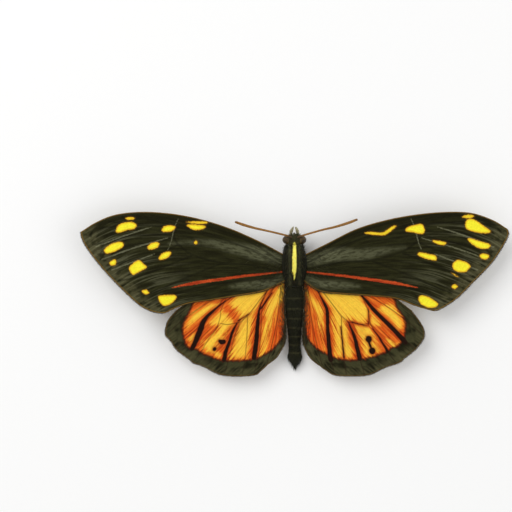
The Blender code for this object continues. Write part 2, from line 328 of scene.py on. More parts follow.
def back_panel(points):
    """1 on the two paler panels of the back, on either side of its middle line, and 0 away from them."""
    out = np.exp(-((np.abs(points[:, 0]) - PANEL_OUT) / 0.38) ** 2)
    return out * np.clip((points[:, 2] - BACK_LEVEL - 0.4) / 0.8, 0, 1)


def add_hair(name, shape, light, brown=0.0, yellow=0.0):
    """A piece of body hair, from strands and from how light, brown and yellow each of them is."""
    count = len(shape[0]) // HAIR_POINTS
    each = [np.repeat(np.broadcast_to(number, count), HAIR_POINTS) for number in (light, brown, yellow)]
    return add_piece(name, shape, body_hair, "body_hair", coat=coat(shape[0], *each))


def thorax_swell(y, turn):
    """The shell's low bulges: its shoulders stand up on either side of the back's middle line, and a
    furrow crosses the back near its hind end."""
    shoulder = np.exp(-((y - 6.6) / 1.8) ** 2) * np.exp(-((np.abs(turn - math.pi) - 0.75) / 0.35) ** 2)
    furrow = np.exp(-((y - 3.9) / 0.22) ** 2) * np.clip(-np.cos(turn), 0, 1)
    return 1 + 0.045 * shoulder - 0.05 * furrow


body_hair = body_hair_paint()
rng = np.random.default_rng(11)
thorax_rings = body_rings(THORAX, THORAX_RINGS, swell=thorax_swell)
thorax_shape = skin(thorax_rings)
at = thorax_shape[0]
on_back = np.clip((at[:, 2] - BACK_LEVEL) / 0.8, 0, 1)
add_piece("thorax_skin", thorax_shape, body_hair, "body_hair", "thorax",
          coat=coat(at, 0.15 + 0.4 * back_panel(at), 0.0, stripe_share(at[:, 0], at[:, 1]) * on_back))

roots, facing = scatter(closed(thorax_rings), THORAX_HAIRS, rng)
bare = (stripe_share(roots[:, 0], roots[:, 1]) > 0.2) & (roots[:, 2] > BACK_LEVEL - 0.2)
bare |= (np.abs(roots[:, 0]) > WING_JOINT[0]) & (np.abs(roots[:, 2] - WING_JOINT[1]) < WING_JOINT[2])
roots, facing = roots[~bare], facing[~bare]
ruff = np.clip((roots[:, 1:2] - RUFF_FROM) / 0.5, 0, 1)
ways = facing * (0.45 + 0.3 * ruff) + (0, -1.0, 0) * (1 - 1.7 * ruff) + rng.normal(0, 0.2, roots.shape)
lengths = rng.uniform(*THORAX_HAIR_LENGTHS, len(roots)) * (1 - 0.4 * ruff[:, 0])
light = rng.uniform(0, 0.6, len(roots)) + 0.4 * back_panel(roots)
brown = rng.random(len(roots)) < 0.07
add_hair("thorax_hair", strands(roots, ways, lengths, 0.055, 0.1), light, brown)

on_stripe = stripe_share(thorax_rings[:-1, :, 0], thorax_rings[:-1, :, 1])
on_back = np.clip(thorax_rings[:-1, :, 2] - BACK_LEVEL, 0, 1)
roots, facing = scatter(closed(thorax_rings), STRIPE_SCALES, rng, on_stripe * on_back)
ways = facing * 0.12 + (0, -1.0, 0) + rng.normal(0, 0.06, roots.shape)
lengths = rng.uniform(*STRIPE_SCALE_LENGTHS, len(roots))
yellow = rng.uniform(0.85, 1.0, len(roots))
stripe = add_hair("thorax_stripe", strands(roots, ways, lengths, 0.13, 0.02, flat=0.3), 0.5, 0.0, yellow)
stripe.data.shade_flat()


# Abdomen.
# A soft tapering sack of horny rings that telescope into each other and join by skin. It dried in place,
# hanging down to the surface, and short hairs lie back along it.

ABDOMEN = [(1.45, 3.90, 1.40, 1.40), (1.05, 3.85, 1.60, 1.60), (-0.60, 3.55, 1.75, 1.75),
           (-3.80, 2.80, 1.72, 1.65), (-7.00, 1.95, 1.42, 1.45), (-9.50, 1.25, 1.18, 1.28),
           (-11.40, 1.10, 1.20, 1.32), (-12.80, 1.10, 1.45, 1.38), (-13.70, 1.10, 1.10, 1.15),
           (-14.60, 1.05, 0.50, 0.60), (-15.40, 1.00, 0.12, 0.14)]
ABDOMEN_LEAN = 0.014  # drift to the right for each millimetre behind the thorax
ABDOMEN_RINGS = (150, 56)
SEGMENT_EDGES = [-0.9, -3.0, -5.0, -6.9, -8.7, -10.4, -12.0]  # Y of each ring's hind edge
ABDOMEN_HAIRS = 3600
ABDOMEN_HAIR_LENGTHS = (0.30, 0.60)
TAIL_FROM = -13.2  # Y behind which the hairs grow longer, into a brush
TAIL_LIMIT = -16.2  # Y that no hair passes


def abdomen_swell(y, turn):
    """Each horny ring grows 3.5% wider towards its hind edge and then drops back to the next one, with a
    furrow along each side where the upper and the lower plates meet."""
    edges = np.array([ABDOMEN[0][0] - 0.05, *SEGMENT_EDGES, ABDOMEN[-1][0]])
    segment = np.clip(np.searchsorted(-edges, -y, side="right") - 1, 0, len(edges) - 2)
    share = (edges[segment] - y) / (edges[segment] - edges[segment + 1])
    step = 0.035 * share - 0.05 * np.exp(-((share - 1) / 0.10) ** 2) - 0.03 * np.exp(-(share / 0.08) ** 2)
    furrow = 0.025 * np.exp(-((np.abs(turn - math.pi) - 1.9) / 0.12) ** 2)
    return 1 + step * np.clip((y + 15) / 1.5, 0, 1) - furrow


def hind_edge(y):
    """1 at a ring's hind edge, falling off over a quarter of a millimetre."""
    gaps = np.abs(np.asarray(y)[..., None] - np.array(SEGMENT_EDGES))
    return np.exp(-(gaps.min(axis=-1) / 0.22) ** 2)


rng = np.random.default_rng(12)
abdomen_rings = body_rings(ABDOMEN, ABDOMEN_RINGS, ABDOMEN_LEAN, abdomen_swell)
abdomen_shape = skin(abdomen_rings)
at = abdomen_shape[0]
add_piece("abdomen_skin", abdomen_shape, body_hair, "body_hair", "abdomen",
          coat=coat(at, 0.1 + 0.35 * hind_edge(at[:, 1]), 0.1 * hind_edge(at[:, 1])))

above_surface = (abdomen_rings[:-1, :, 2] > 0.25).astype(float)
roots, facing = scatter(closed(abdomen_rings), ABDOMEN_HAIRS, rng, above_surface)
tail = np.clip((TAIL_FROM - roots[:, 1]) / 1.5, 0, 1)
ways = facing * (0.22 - 0.1 * tail[:, None]) + (0, -1.0, 0.03) + rng.normal(0, 0.1, roots.shape)
lengths = rng.uniform(*ABDOMEN_HAIR_LENGTHS, len(roots)) * (1 + 0.5 * tail)
room = (roots[:, 1] - TAIL_LIMIT) / 1.1
lengths = np.clip(lengths, 0.1, np.maximum(room, 0.15))
light = rng.uniform(0.0, 0.55, len(roots)) + 0.45 * hind_edge(roots[:, 1] - 0.1)
hair_shape = strands(roots, ways, lengths, 0.045)
hair_shape[0][:, 2] = np.maximum(hair_shape[0][:, 2], 0.0)
add_hair("abdomen_hair", hair_shape, light)


# Head.
# A small horny capsule on a thin neck, covered with dark hair that stands up in a tuft between the feelers.

HEAD = [(11.85, 4.40, 0.40, 0.45), (11.65, 4.45, 0.95, 0.85), (11.25, 4.50, 1.25, 1.15),
        (10.60, 4.50, 1.35, 1.30), (10.10, 4.50, 1.30, 1.20), (9.85, 4.50, 1.00, 0.95)]
HEAD_RINGS = (36, 48)
HEAD_FLAT = 1.05  # half width at which the eyes sit against the head
HEAD_HAIRS = 1300
HEAD_HAIR_LENGTHS = (0.30, 0.65)
STRIPE_LEVEL = 5.0  # height above which the stripe's front end shows on the head

rng = np.random.default_rng(13)
head_rings = body_rings(HEAD, HEAD_RINGS)
head_rings[..., 0] = np.clip(head_rings[..., 0], -HEAD_FLAT, HEAD_FLAT)
head_shape = skin(head_rings)
at = head_shape[0]
add_piece("head_skin", head_shape, body_hair, "body_hair", "head",
          coat=coat(at, 0.6, 0.0, stripe_share(at[:, 0], at[:, 1]) * (at[:, 2] > STRIPE_LEVEL)))

between_eyes = (np.abs(head_rings[:-1, :, 0]) < HEAD_FLAT - 0.05).astype(float)
roots, facing = scatter(closed(head_rings), HEAD_HAIRS, rng, between_eyes)
forward = np.clip((roots[:, 1:2] - 10.4) / 1.0, -1, 1)
ways = facing * 0.7 + np.array([0, 0.6, 0]) * forward + rng.normal(0, 0.2, roots.shape)
ways += roots * (0.45, 0, 0)  # outwards over the rims of the eyes
lengths = rng.uniform(*HEAD_HAIR_LENGTHS, len(roots))
light = rng.uniform(0.4, 1.4, len(roots))
brown = rng.random(len(roots)) < 0.12
yellow = (stripe_share(roots[:, 0], roots[:, 1]) > 0.2) & (roots[:, 2] > STRIPE_LEVEL)
add_hair("head_hair", strands(roots, ways, lengths, 0.05, 0.05), light, brown, yellow)


# Eyes.
# Two domes of thousands of tiny lenses, horny and glossy. They grew as part of the head's shell, and dry
# to a dark brown with a paler rim.

EYE_DOME = (1.25, 0.98, 1.20)  # half sizes across, along and up
EYE_MIDDLE = (10.85, 4.5)  # Y and Z
EYE_RINGS = (28, 56)
EYE_GAP = 0.1  # from the cheek to the dome's base
COLLAR = 0.9  # size of the collar's inner ring, in parts of the dome's base
LENS = 0.055
EYE_BROWN = ((34, 24, 6), (82, 62, 26))
EYE_RIM = (98, 86, 54)


def eye_rings(side):
    """Half an ellipsoid on its flat side: at lift l the ring is cos l as wide as the base, and sin l of
    the dome's depth out from the cheek. A short collar goes straight in to the head."""
    lift = np.linspace(0, 0.985, EYE_RINGS[0])[:, None] * math.pi / 2
    turn = np.arange(EYE_RINGS[1]) * 2 * math.pi / EYE_RINGS[1]
    x = np.broadcast_to(HEAD_FLAT + EYE_GAP + EYE_DOME[0] * np.sin(lift), EYE_RINGS)
    y = EYE_MIDDLE[0] + EYE_DOME[1] * np.cos(lift) * np.cos(turn)
    z = EYE_MIDDLE[1] + EYE_DOME[2] * np.cos(lift) * np.sin(turn)
    dome = np.stack([x * side, y, z], axis=-1)
    cheek = np.array([side * (HEAD_FLAT - 0.05), *EYE_MIDDLE])
    collar = dome[:1] * (0, COLLAR, COLLAR) + cheek * (1, 1 - COLLAR, 1 - COLLAR)
    return np.concatenate([collar, dome])


def eye_paint():
    """Dark brown lenses, with faint darker clouds, and a paler ring next to the head."""
    paint = Paint("eye_brown", Specular_IOR_Level=0.3)
    place = paint.place()
    cloud = paint.noise(place, 0.7)
    x = place.parts()[0]
    rim = x.math("ABSOLUTE", x).below(1.14, 1.26)
    colour = paint.mix(cloud.above(0.35, 0.65), *EYE_BROWN)
    colour = paint.mix(rim * 0.6, colour, EYE_RIM)
    lens = paint.cells(place, LENS)
    return paint.finish(colour, lens * 0.3 + 0.18, lens.below(0.0, 0.9), 0.02)


eye_brown = eye_paint()
for word, side in (("left", -1), ("right", 1)):
    add_piece(f"{word}_eye_lenses", skin(eye_rings(side)), eye_brown, "eye_brown", f"{word}_eye")


# Palps.
# Two short upturned feelers in front of the face, covered with cream scales that lie forward along them.

PALP = [(0.70, 12.04, 4.15, 0.24), (0.64, 12.40, 4.35, 0.28), (0.44, 12.90, 4.70, 0.21),
        (0.20, 13.40, 5.00, 0.07)]  # out from the axis, Y, Z and radius
PALP_RINGS = (30, 24)
PALP_HAIRS = 260
PALP_HAIR_LENGTHS = (0.12, 0.28)
PALP_CREAM = ((150, 144, 104), (226, 218, 180))
PALP_BROWN = (120, 96, 58)


def tube_rings(stations, rings, side=1, swell=None):
    """Circles along a smooth line. A point at angle a is radius·(cos a across + sin a up) from the line,
    the radius times the swelling at that share of the length, and never below the surface."""
    line = smooth_curve(stations, rings[0])
    centres = line[:, :3] * (side, 1, 1)
    ahead = unit(np.gradient(centres, axis=0))
    across = unit(np.cross(ahead, (0.0, 0.0, 1.0)))[:, None]
    upward = np.cross(across[:, 0], ahead)[:, None]
    turn = (np.arange(rings[1]) * 2 * math.pi / rings[1])[None, :, None]
    share = np.linspace(0, 1, rings[0])
    radius = line[:, 3] * (1.0 if swell is None else swell(share))
    around = centres[:, None] + radius[:, None, None] * (np.cos(turn) * across + np.sin(turn) * upward)
    around[..., 2] = np.maximum(around[..., 2], 0.0)
    return around


def palp_paint():
    """Cream scales, each a little lighter or darker, with a few brown ones."""
    paint = Paint("palp_cream", Sheen_Weight=0.1)
    place = paint.place()
    scale = paint.cells(place.stretched(1.0, 0.5, 1.0), 0.09, "Color").parts()[0]
    colour = paint.mix(scale.above(0.0, 1.0), *PALP_CREAM)
    colour = paint.mix(scale.above(0.88, 0.9), colour, PALP_BROWN)
    return paint.finish(colour, 0.7 + scale * 0.2, scale, 0.03)


palp_cream = palp_paint()
rng = np.random.default_rng(15)
for word, side in (("left", -1), ("right", 1)):
    palp_tube = tube_rings(PALP, PALP_RINGS, side)
    add_piece(f"{word}_palp_scales", skin(palp_tube), palp_cream, "palp_cream", f"{word}_palp")
    roots, _ = scatter(closed(palp_tube)[:, ::-1], PALP_HAIRS, rng)
    middle = smooth_curve(PALP, 60)[:, :3] * (side, 1, 1)
    beside = np.argmin(np.abs(roots[:, 1:2] - middle[:, 1]), axis=1)
    ways = unit(roots - middle[beside]) * 0.4 + (0, 0.9, 0.35) + rng.normal(0, 0.1, roots.shape)
    lengths = rng.uniform(*PALP_HAIR_LENGTHS, len(roots))
    add_piece(f"{word}_palp_hair", strands(roots, ways, lengths, 0.05), palp_cream, "palp_cream")


# Tongue.
# Two grooved half tubes zipped together into a drinking straw, ringed like a hose and rolled up like a
# watch spring under the head.

TONGUE_MIDDLE = (11.45, 2.20)  # Y and Z of the coil's centre
TONGUE_RADII = (0.22, 0.84)  # of the innermost and the outermost turn
TONGUE_TURNS = 1.75
TONGUE_THICKNESS = 0.30
TONGUE_RINGS = (420, 16)
TONGUE_RIDGES = 84
TONGUE_ROOT = math.radians(60)  # where on the coil the outermost turn ends, up from forward
HORN_BROWN = ((44, 30, 18), (88, 62, 36))


def tongue_rings():
    """A spiral in the YZ plane whose radius grows evenly with the turn. The tube on it is thinner at the
    free end, has low ridges all along, and a groove on either side where its halves meet."""
    share = np.linspace(0, 1, TONGUE_RINGS[0])[:, None]
    turn = TONGUE_ROOT - (1 - share) * TONGUE_TURNS * 2 * math.pi
    radius = TONGUE_RADII[0] + (TONGUE_RADII[1] - TONGUE_RADII[0]) * share
    angle = (np.arange(TONGUE_RINGS[1]) * 2 * math.pi / TONGUE_RINGS[1])[None]
    ridge = 1 + 0.04 * np.cos(2 * math.pi * TONGUE_RIDGES * share)
    half = TONGUE_THICKNESS / 2 * (0.6 + 0.4 * share) * ridge * (1 - 0.12 * np.abs(np.sin(angle)) ** 12)
    out = radius + half * np.sin(angle)
    x = half * np.cos(angle)
    return np.stack([x, TONGUE_MIDDLE[0] + out * np.cos(turn), TONGUE_MIDDLE[1] + out * np.sin(turn)], -1)


def horn_paint(name, dark, light):
    """Horn: brown to nearly black in soft patches, with a dull shine and fine pits."""
    paint = Paint(name, Specular_IOR_Level=0.4)
    place = paint.place()
    patch = paint.noise(place, 0.6, 3.0)
    pit = paint.cells(place, 0.07)
    colour = paint.mix(patch.above(0.35, 0.65), dark, light)
    return paint.finish(colour, patch * 0.3 + 0.35, pit, 0.02)


leg_brown = horn_paint("leg_brown", *HORN_BROWN)
add_piece("tongue_coil", skin(tongue_rings()), leg_brown, "leg_brown", "tongue")


# Feelers.
# Thin horny rods of about forty short joints, each with fine bristles, that thicken slowly to a club. They
# hinge in sockets on top of the head.

RIGHT_ANTENNA = [(0.60, 11.28, 5.89, 0.21), (1.3, 11.6, 6.1, 0.20), (3.9, 12.35, 6.5, 0.20),
                 (5.7, 12.85, 6.7, 0.21), (8.1, 13.4, 6.9, 0.24), (10.7, 14.2, 7.2, 0.28),
                 (12.5, 14.9, 7.4, 0.23)]
LEFT_ANTENNA = [(0.60, 11.28, 5.89, 0.21), (1.3, 11.6, 6.1, 0.20), (3.9, 12.25, 6.5, 0.20),
                (5.9, 12.7, 6.7, 0.21), (8.0, 13.17, 6.9, 0.24), (10.2, 13.8, 7.2, 0.28),
                (11.9, 14.4, 7.4, 0.23)]
ANTENNA_JOINTS = 40
ANTENNA_RINGS = (321, 16)
ANTENNA_OCHRE = ((112, 70, 16), (168, 120, 48))
ANTENNA_JOINT = (72, 44, 14)
ANTENNA_UNDERSIDE = (80, 52, 20)
ANTENNA_ROOT = (34, 26, 10)
ANTENNA_CLUB = (84, 50, 18)


def antenna_swell(share):
    """Each joint is a tenth wider at its middle than where it meets the next, and the tip is rounded."""
    joint = np.abs(np.sin(math.pi * ANTENNA_JOINTS * share))
    return (0.92 + 0.1 * joint**0.5) * np.sqrt(np.clip((1.004 - share) / 0.02, 0, 1))


def antenna_paint():
    """Ochre horn, darker at each joint, browner underneath and at the club, nearly black at its root."""
    paint = Paint("antenna_ochre", Specular_IOR_Level=0.35)
    share, joint, under = paint.carried("length").parts()
    fleck = paint.noise(paint.place(), 0.15, 3.0)
    colour = paint.mix(fleck.above(0.3, 0.7), *ANTENNA_OCHRE)
    colour = paint.mix(joint.below(0.0, 0.45) * 0.75, colour, ANTENNA_JOINT)
    colour = paint.mix(under * 0.5, colour, ANTENNA_UNDERSIDE)
    colour = paint.mix(share.below(0.03, 0.14) * 0.85, colour, ANTENNA_ROOT)
    colour = paint.mix(share.above(0.93, 0.99) * 0.6, colour, ANTENNA_CLUB)
    return paint.finish(colour, 0.45 + fleck * 0.25, fleck, 0.02)


def antenna_length():
    """For each point of a feeler: its share of the length, 0 where two joints meet to 1 at a joint's
    middle, and 0 at the sides to 1 underneath. The two end points come last."""
    count, sides = ANTENNA_RINGS
    share = np.repeat(np.linspace(0, 1, count), sides)
    joint = np.abs(np.sin(math.pi * ANTENNA_JOINTS * share))
    turn = np.tile(np.arange(sides) * 2 * math.pi / sides, count)
    under = np.clip(-np.sin(turn), 0, 1)
    return np.vstack([np.stack([share, joint, under], axis=-1), [(0, 0, 0), (1, 0, 0)]])


antenna_ochre = antenna_paint()
for word, side, stations in (("left", -1, LEFT_ANTENNA), ("right", 1, RIGHT_ANTENNA)):
    rod = skin(tube_rings(stations, ANTENNA_RINGS, side, antenna_swell))
    add_piece(f"{word}_feeler", rod, antenna_ochre, "antenna_ochre", f"{word}_antenna",
              length=antenna_length())


# Legs.
# Horny tubes in five lengths each, joined by skin, with spines along the shin and small claws on the foot.
# The front pair is short and folded up under the head. The other four stand on the surface.

FORELEG = [(0.75, 8.80, 2.30, 0.17), (1.15, 9.55, 1.80, 0.15), (0.75, 10.25, 1.95, 0.10)]
MIDDLE_LEG = [(1.45, 6.30, 1.65, 0.30), (2.80, 6.90, 2.05, 0.26), (4.60, 7.30, 2.50, 0.19),
              (5.90, 6.20, 1.40, 0.16), (7.00, 5.10, 0.35, 0.15), (8.30, 4.40, 0.13, 0.15),
              (9.60, 3.80, 0.13, 0.15)]
HIND_LEG = [(1.35, 4.10, 1.70, 0.30), (2.60, 3.20, 2.00, 0.26), (4.20, 1.90, 2.40, 0.19),
            (5.20, 0.00, 1.30, 0.16), (6.10, -1.80, 0.35, 0.15), (7.00, -3.30, 0.13, 0.15),
            (7.80, -4.90, 0.13, 0.15)]
LEG_JOINTS = np.array([0.15, 0.40, 0.70, 0.76, 0.82, 0.88, 0.94])  # as shares of the length
LEG_RINGS = (180, 18)
SPINE_LENGTHS = (0.2, 0.42)
CLAW_LENGTH = 0.35
LEGS = (("foreleg", FORELEG, 16), ("middle_leg", MIDDLE_LEG, 46),
        ("hind_leg", HIND_LEG, 46))  # each with its number of spines


def leg_swell(share):
    """Each length is a little thinner at both ends and thickest just before its hind joint."""
    near = np.abs(share[:, None] - LEG_JOINTS)
    pinch = np.exp(-(near.min(axis=1) / 0.012) ** 2)
    knob = np.exp(-((near.min(axis=1) - 0.03) / 0.015) ** 2)
    return (1 - 0.25 * pinch + 0.08 * knob) * np.sqrt(np.clip((1.01 - share) / 0.03, 0, 1))


rng = np.random.default_rng(18)
for word, side in (("left", -1), ("right", 1)):
    for pair, stations, spines in LEGS:
        leg = tube_rings(stations, LEG_RINGS, side, leg_swell)
        add_piece(f"{word}_{pair}_horn", skin(leg), leg_brown, "leg_brown", f"{word}_{pair}")
        line = smooth_curve(stations, LEG_RINGS[0])[:, :3] * (side, 1, 1)
        at = rng.integers(LEG_RINGS[0] // 5, LEG_RINGS[0] - 6, spines)
        around = rng.integers(0, LEG_RINGS[1], spines)
        roots = leg[at, around]
        ways = unit(roots - line[at]) * 0.6 + unit(line[at + 4] - line[at]) + (0, 0, 0.15)
        points, faces = strands(roots, ways, rng.uniform(*SPINE_LENGTHS, spines), 0.045)
        if pair != "foreleg":
            claw_roots = np.repeat(line[-2:-1], 2, axis=0) + (0, 0, 0.02)
            ahead = unit(line[-1] - line[-4])
            apart = np.array([[-ahead[1], ahead[0], 0], [ahead[1], -ahead[0], 0]]) * 0.5
            claws, claw_faces = strands(claw_roots, ahead + apart, CLAW_LENGTH, 0.07, 0.1)
            faces = [np.vstack([a, b + len(points)]) for a, b in zip(faces, claw_faces)]
            points = np.vstack([points, claws])
        points[:, 2] = np.maximum(points[:, 2], 0.0)
        add_piece(f"{word}_{pair}_spines", (points, faces), leg_brown, "leg_brown")


# Hindwings.
# Two skins of horn pressed into one clear sheet, stiffened by hollow veins and tiled on both faces with
# coloured scales. They hinge on the thorax and lie under the forewings.

HALF_SPAN = 42.6  # body axis to either forewing tip
WING_RISE = 0.055  # upward slope of a wing at its root
WING_SAG = 0.0007  # how fast that slope levels out
ROOT_REACH = 2.4
ROOT_DEPTH = 0.22  # how far below a wing's upper face its root is fitted to the thorax
ROOT_GAP = 0.1
HINDWING_LEVEL = 4.75
HINDWING_CAMBER = 0.25
HINDWING_DROOP = 0.055  # fall for each millimetre behind the root
HINDWING_ROOT = (4.4, 2.2)  # Y of the front and the back of the root
HINDWING_GRID = (150, 160)
HINDWING_GRAIN = (22.0, 26.0)  # length of the wing, and width around its edge, that the scales' rows use
MEMBRANE = (0.16, 0.06)  # thickness at the root and at the edge
VEIN_RIDGE = (0.09, 0.17)  # height, and half width
SLACK = (0.10, 0.9)  # depth between two veins, and how far from a vein most of it is reached
RIGHT_HINDWING = {
    "front": [(0.075, 0.100), (0.160, 0.122), (0.290, 0.098), (0.400, 0.038), (0.481, -0.023),
              (0.547, -0.075)],
    "outer": [(0.547, -0.075), (0.589, -0.131), (0.610, -0.178), (0.603, -0.216), (0.566, -0.263),
              (0.519, -0.300), (0.495, -0.322), (0.425, -0.347), (0.354, -0.380), (0.284, -0.387),
              (0.190, -0.383), (0.143, -0.357)],
    "back": [(0.122, -0.342), (0.082, -0.310), (0.054, -0.263), (0.042, -0.221), (0.042, -0.170),
             (0.047, -0.080), (0.052, 0.020)],
}  # in half spans, X out from the axis. Each edge runs away from the body, the outer one front to back
LEFT_HINDWING = {
    "front": [(0.075, 0.100), (0.160, 0.122), (0.290, 0.098), (0.400, 0.038), (0.485, -0.023),
              (0.553, -0.075)],
    "outer": [(0.553, -0.075), (0.594, -0.127), (0.606, -0.188), (0.580, -0.221), (0.552, -0.263),
              (0.491, -0.310), (0.472, -0.326), (0.430, -0.340), (0.354, -0.378), (0.293, -0.387),
              (0.232, -0.387), (0.176, -0.380), (0.157, -0.361)],
    "back": [(0.124, -0.333), (0.087, -0.305), (0.063, -0.268), (0.049, -0.239), (0.042, -0.190),
             (0.047, -0.080), (0.052, 0.020)],
}
HINDWING_VEINS = [
    [(3.0, 3.6), (12.0, 3.2), (20.0, 0.4), (24.4, -4.6)],
    [(3.0, 3.4), (9.0, 1.5), (16.0, -1.0), (22.0, -5.0), (25.7, -8.2)],
    [(9.0, 1.5), (13.5, -0.4), (15.9, -3.2), (17.9, -5.2), (20.7, -8.0), (24.2, -11.0)],
    [(14.8, -3.4), (14.9, -4.8), (15.7, -7.0), (17.3, -9.2), (18.7, -11.6), (20.4, -13.8)],
    [(3.0, 2.9), (6.0, 0.0), (9.4, -4.4), (10.8, -5.6), (11.9, -8.2), (12.5, -10.4), (13.3, -13.6),
     (14.1, -16.2)],
    [(9.4, -4.4), (9.5, -8.0), (9.9, -12.8), (10.5, -16.4)],
    [(3.0, 2.6), (5.1, -0.2), (6.5, -3.2), (6.7, -7.2), (7.1, -11.8), (8.1, -16.2)],
    [(2.7, 2.2), (3.0, -2.0), (3.6, -6.0), (4.6, -10.6), (5.6, -14.4)],
    [(10.8, -5.6), (13.3, -6.1), (14.8, -5.9)],
    [(14.8, -3.4), (13.5, -0.4)],
]  # X out from the axis and Y
RIGHT_FIELD = [(0.9, 0.8), (1.9, -4.8), (2.4, -8.0), (3.3, -9.8), (5.1, -11.4), (7.3, -12.6), (10.1, -13.3),
               (12.7, -13.3), (15.1, -12.8), (17.7, -12.0), (19.3, -11.1), (21.1, -10.2), (21.8, -9.2),
               (22.2, -7.4), (22.3, -6.2), (21.7, -4.4), (20.5, -2.7), (19.6, -0.6), (14.0, 4.0), (4.0, 4.6)]
LEFT_FIELD = [(0.9, 0.8), (1.7, -5.2), (2.0, -7.8), (3.1, -9.8), (4.9, -11.6), (7.1, -12.8), (9.1, -13.3),
              (13.3, -13.5), (15.3, -13.2), (17.7, -12.3), (19.7, -11.2), (21.5, -10.7), (22.1, -9.0),
              (22.5, -7.2), (21.9, -5.2), (20.9, -3.3), (19.6, -0.8), (14.0, 4.0), (4.0, 4.6)]
RIGHT_WINDOWS = [
    [(1.8, 1.8), (2.5, 0.8), (3.7, -0.4), (4.7, -1.4), (5.5, -2.6), (5.9, -3.6), (5.9, -5.6), (6.0, -8.8),
     (6.4, -11.2), (6.1, -11.4), (5.6, -9.4), (5.0, -7.4), (4.5, -5.6), (4.3, -4.4), (3.7, -3.2),
     (2.9, -1.4), (2.2, 0.0)],
    [(5.0, 0.4), (5.9, -1.4), (6.7, -2.4), (7.3, -3.0), (7.2, -4.8), (7.5, -6.4), (7.7, -8.4), (7.9, -11.2),
     (8.2, -12.6), (10.1, -13.0), (12.0, -12.8), (11.7, -11.0), (11.2, -9.0), (11.0, -7.2), (10.7, -5.5),
     (12.7, -5.9), (14.5, -6.2), (14.9, -4.8), (15.4, -3.6), (14.3, -1.6), (13.5, 0.2), (11.4, 1.6),
     (7.0, 1.8)],
    [(12.1, -6.4), (13.5, -6.1), (14.9, -6.5), (15.5, -7.0), (15.7, -7.8), (16.3, -9.0), (16.9, -10.2),
     (17.5, -11.6), (16.9, -12.0), (14.1, -12.8), (13.7, -11.8), (12.9, -9.4)],
    [(14.9, -5.4), (15.3, -4.4), (15.7, -4.1), (16.5, -4.8), (17.3, -5.6), (17.3, -6.3), (16.7, -6.8),
     (15.7, -6.8), (14.9, -6.3)],
    [(16.7, -3.2), (17.7, -2.2), (19.5, -1.9), (20.4, -2.8), (21.1, -4.2), (21.7, -5.4), (21.9, -6.6),
     (21.5, -7.2), (20.9, -7.4), (20.3, -7.0), (18.7, -5.2)],
    [(18.3, -9.0), (19.3, -8.8), (20.3, -9.7), (21.1, -8.8), (21.4, -9.8), (20.5, -10.4), (19.5, -10.8),
     (18.8, -10.0)],
]  # the yellow places
LEFT_WINDOWS = [
    [(2.1, 2.7), (1.5, 1.0), (1.9, -0.4), (2.2, -1.8), (2.9, -2.4), (3.6, -3.8), (4.5, -6.6), (4.9, -8.0),
     (5.1, -9.8), (5.5, -11.8), (7.2, -12.5), (6.7, -9.2), (6.6, -6.8), (5.9, -5.0), (6.1, -3.8),
     (5.4, -1.6), (4.1, 0.6), (3.1, 2.0)],
    [(7.4, -3.0), (7.9, -4.2), (8.3, -6.2), (8.6, -8.2), (9.1, -12.7), (10.5, -13.1), (13.3, -13.1),
     (12.7, -10.8), (11.9, -7.8), (11.3, -5.6), (11.7, -3.4), (13.1, -2.2), (12.1, -0.3), (10.0, 1.2),
     (6.0, 1.6), (5.4, 0.2), (6.6, -1.8)],
    [(11.9, -6.0), (12.7, -6.8), (13.9, -8.4), (13.7, -9.4), (14.3, -10.2), (15.3, -10.3), (15.2, -11.4),
     (14.6, -12.0), (14.9, -12.8), (17.5, -11.8), (18.7, -10.6), (18.5, -9.4), (17.3, -8.7), (16.3, -7.8),
     (15.5, -6.9), (16.5, -6.6), (17.2, -5.6), (15.5, -4.0), (14.3, -3.4), (13.0, -4.4)],
    [(15.1, -2.1), (17.7, -4.0), (19.3, -5.3), (20.5, -6.2), (21.3, -7.2), (22.0, -6.8), (21.3, -5.4),
     (20.3, -3.6), (18.3, -2.6), (16.5, -1.8)],
    [(21.3, -9.4), (21.1, -8.6), (20.3, -7.8), (19.7, -7.8), (19.1, -8.5), (19.5, -9.4), (20.3, -10.3),
     (20.9, -10.3)],
]
RIGHT_BARS = [
    [(4.4, 1.4, 0.06), (5.1, -0.2, 0.10), (6.5, -3.2, 0.30), (6.7, -7.2, 0.36), (7.1, -11.8, 0.46),
     (7.3, -13.2, 0.50)],
    [(10.8, -5.6, 0.06), (11.9, -8.2, 0.30), (12.5, -10.4, 0.38), (13.1, -13.0, 0.46)],
    [(11.6, 1.2, 0.08), (13.5, -0.4, 0.20), (15.9, -3.2, 0.36), (17.9, -5.2, 0.40), (20.7, -8.0, 0.44),
     (22.2, -9.7, 0.50)],
    [(15.7, -7.0, 0.06), (17.3, -9.2, 0.16), (18.7, -11.6, 0.26)],
    [(9.3, -6.6, 0.05), (9.7, -10.2, 0.13), (10.0, -12.8, 0.15)],
    [(11.5, -5.6, 0.08), (13.3, -6.1, 0.08), (14.7, -6.3, 0.08), (14.9, -4.8, 0.07), (14.8, -2.8, 0.05)],
    [(14.9, -9.0, 0.60), (14.95, -9.1, 0.60)],
    [(15.6, -11.4, 0.62), (15.65, -11.5, 0.60)],
    [(14.95, -9.6, 0.2), (15.4, -11.0, 0.2)],
]  # dark lines and dots, with half their width
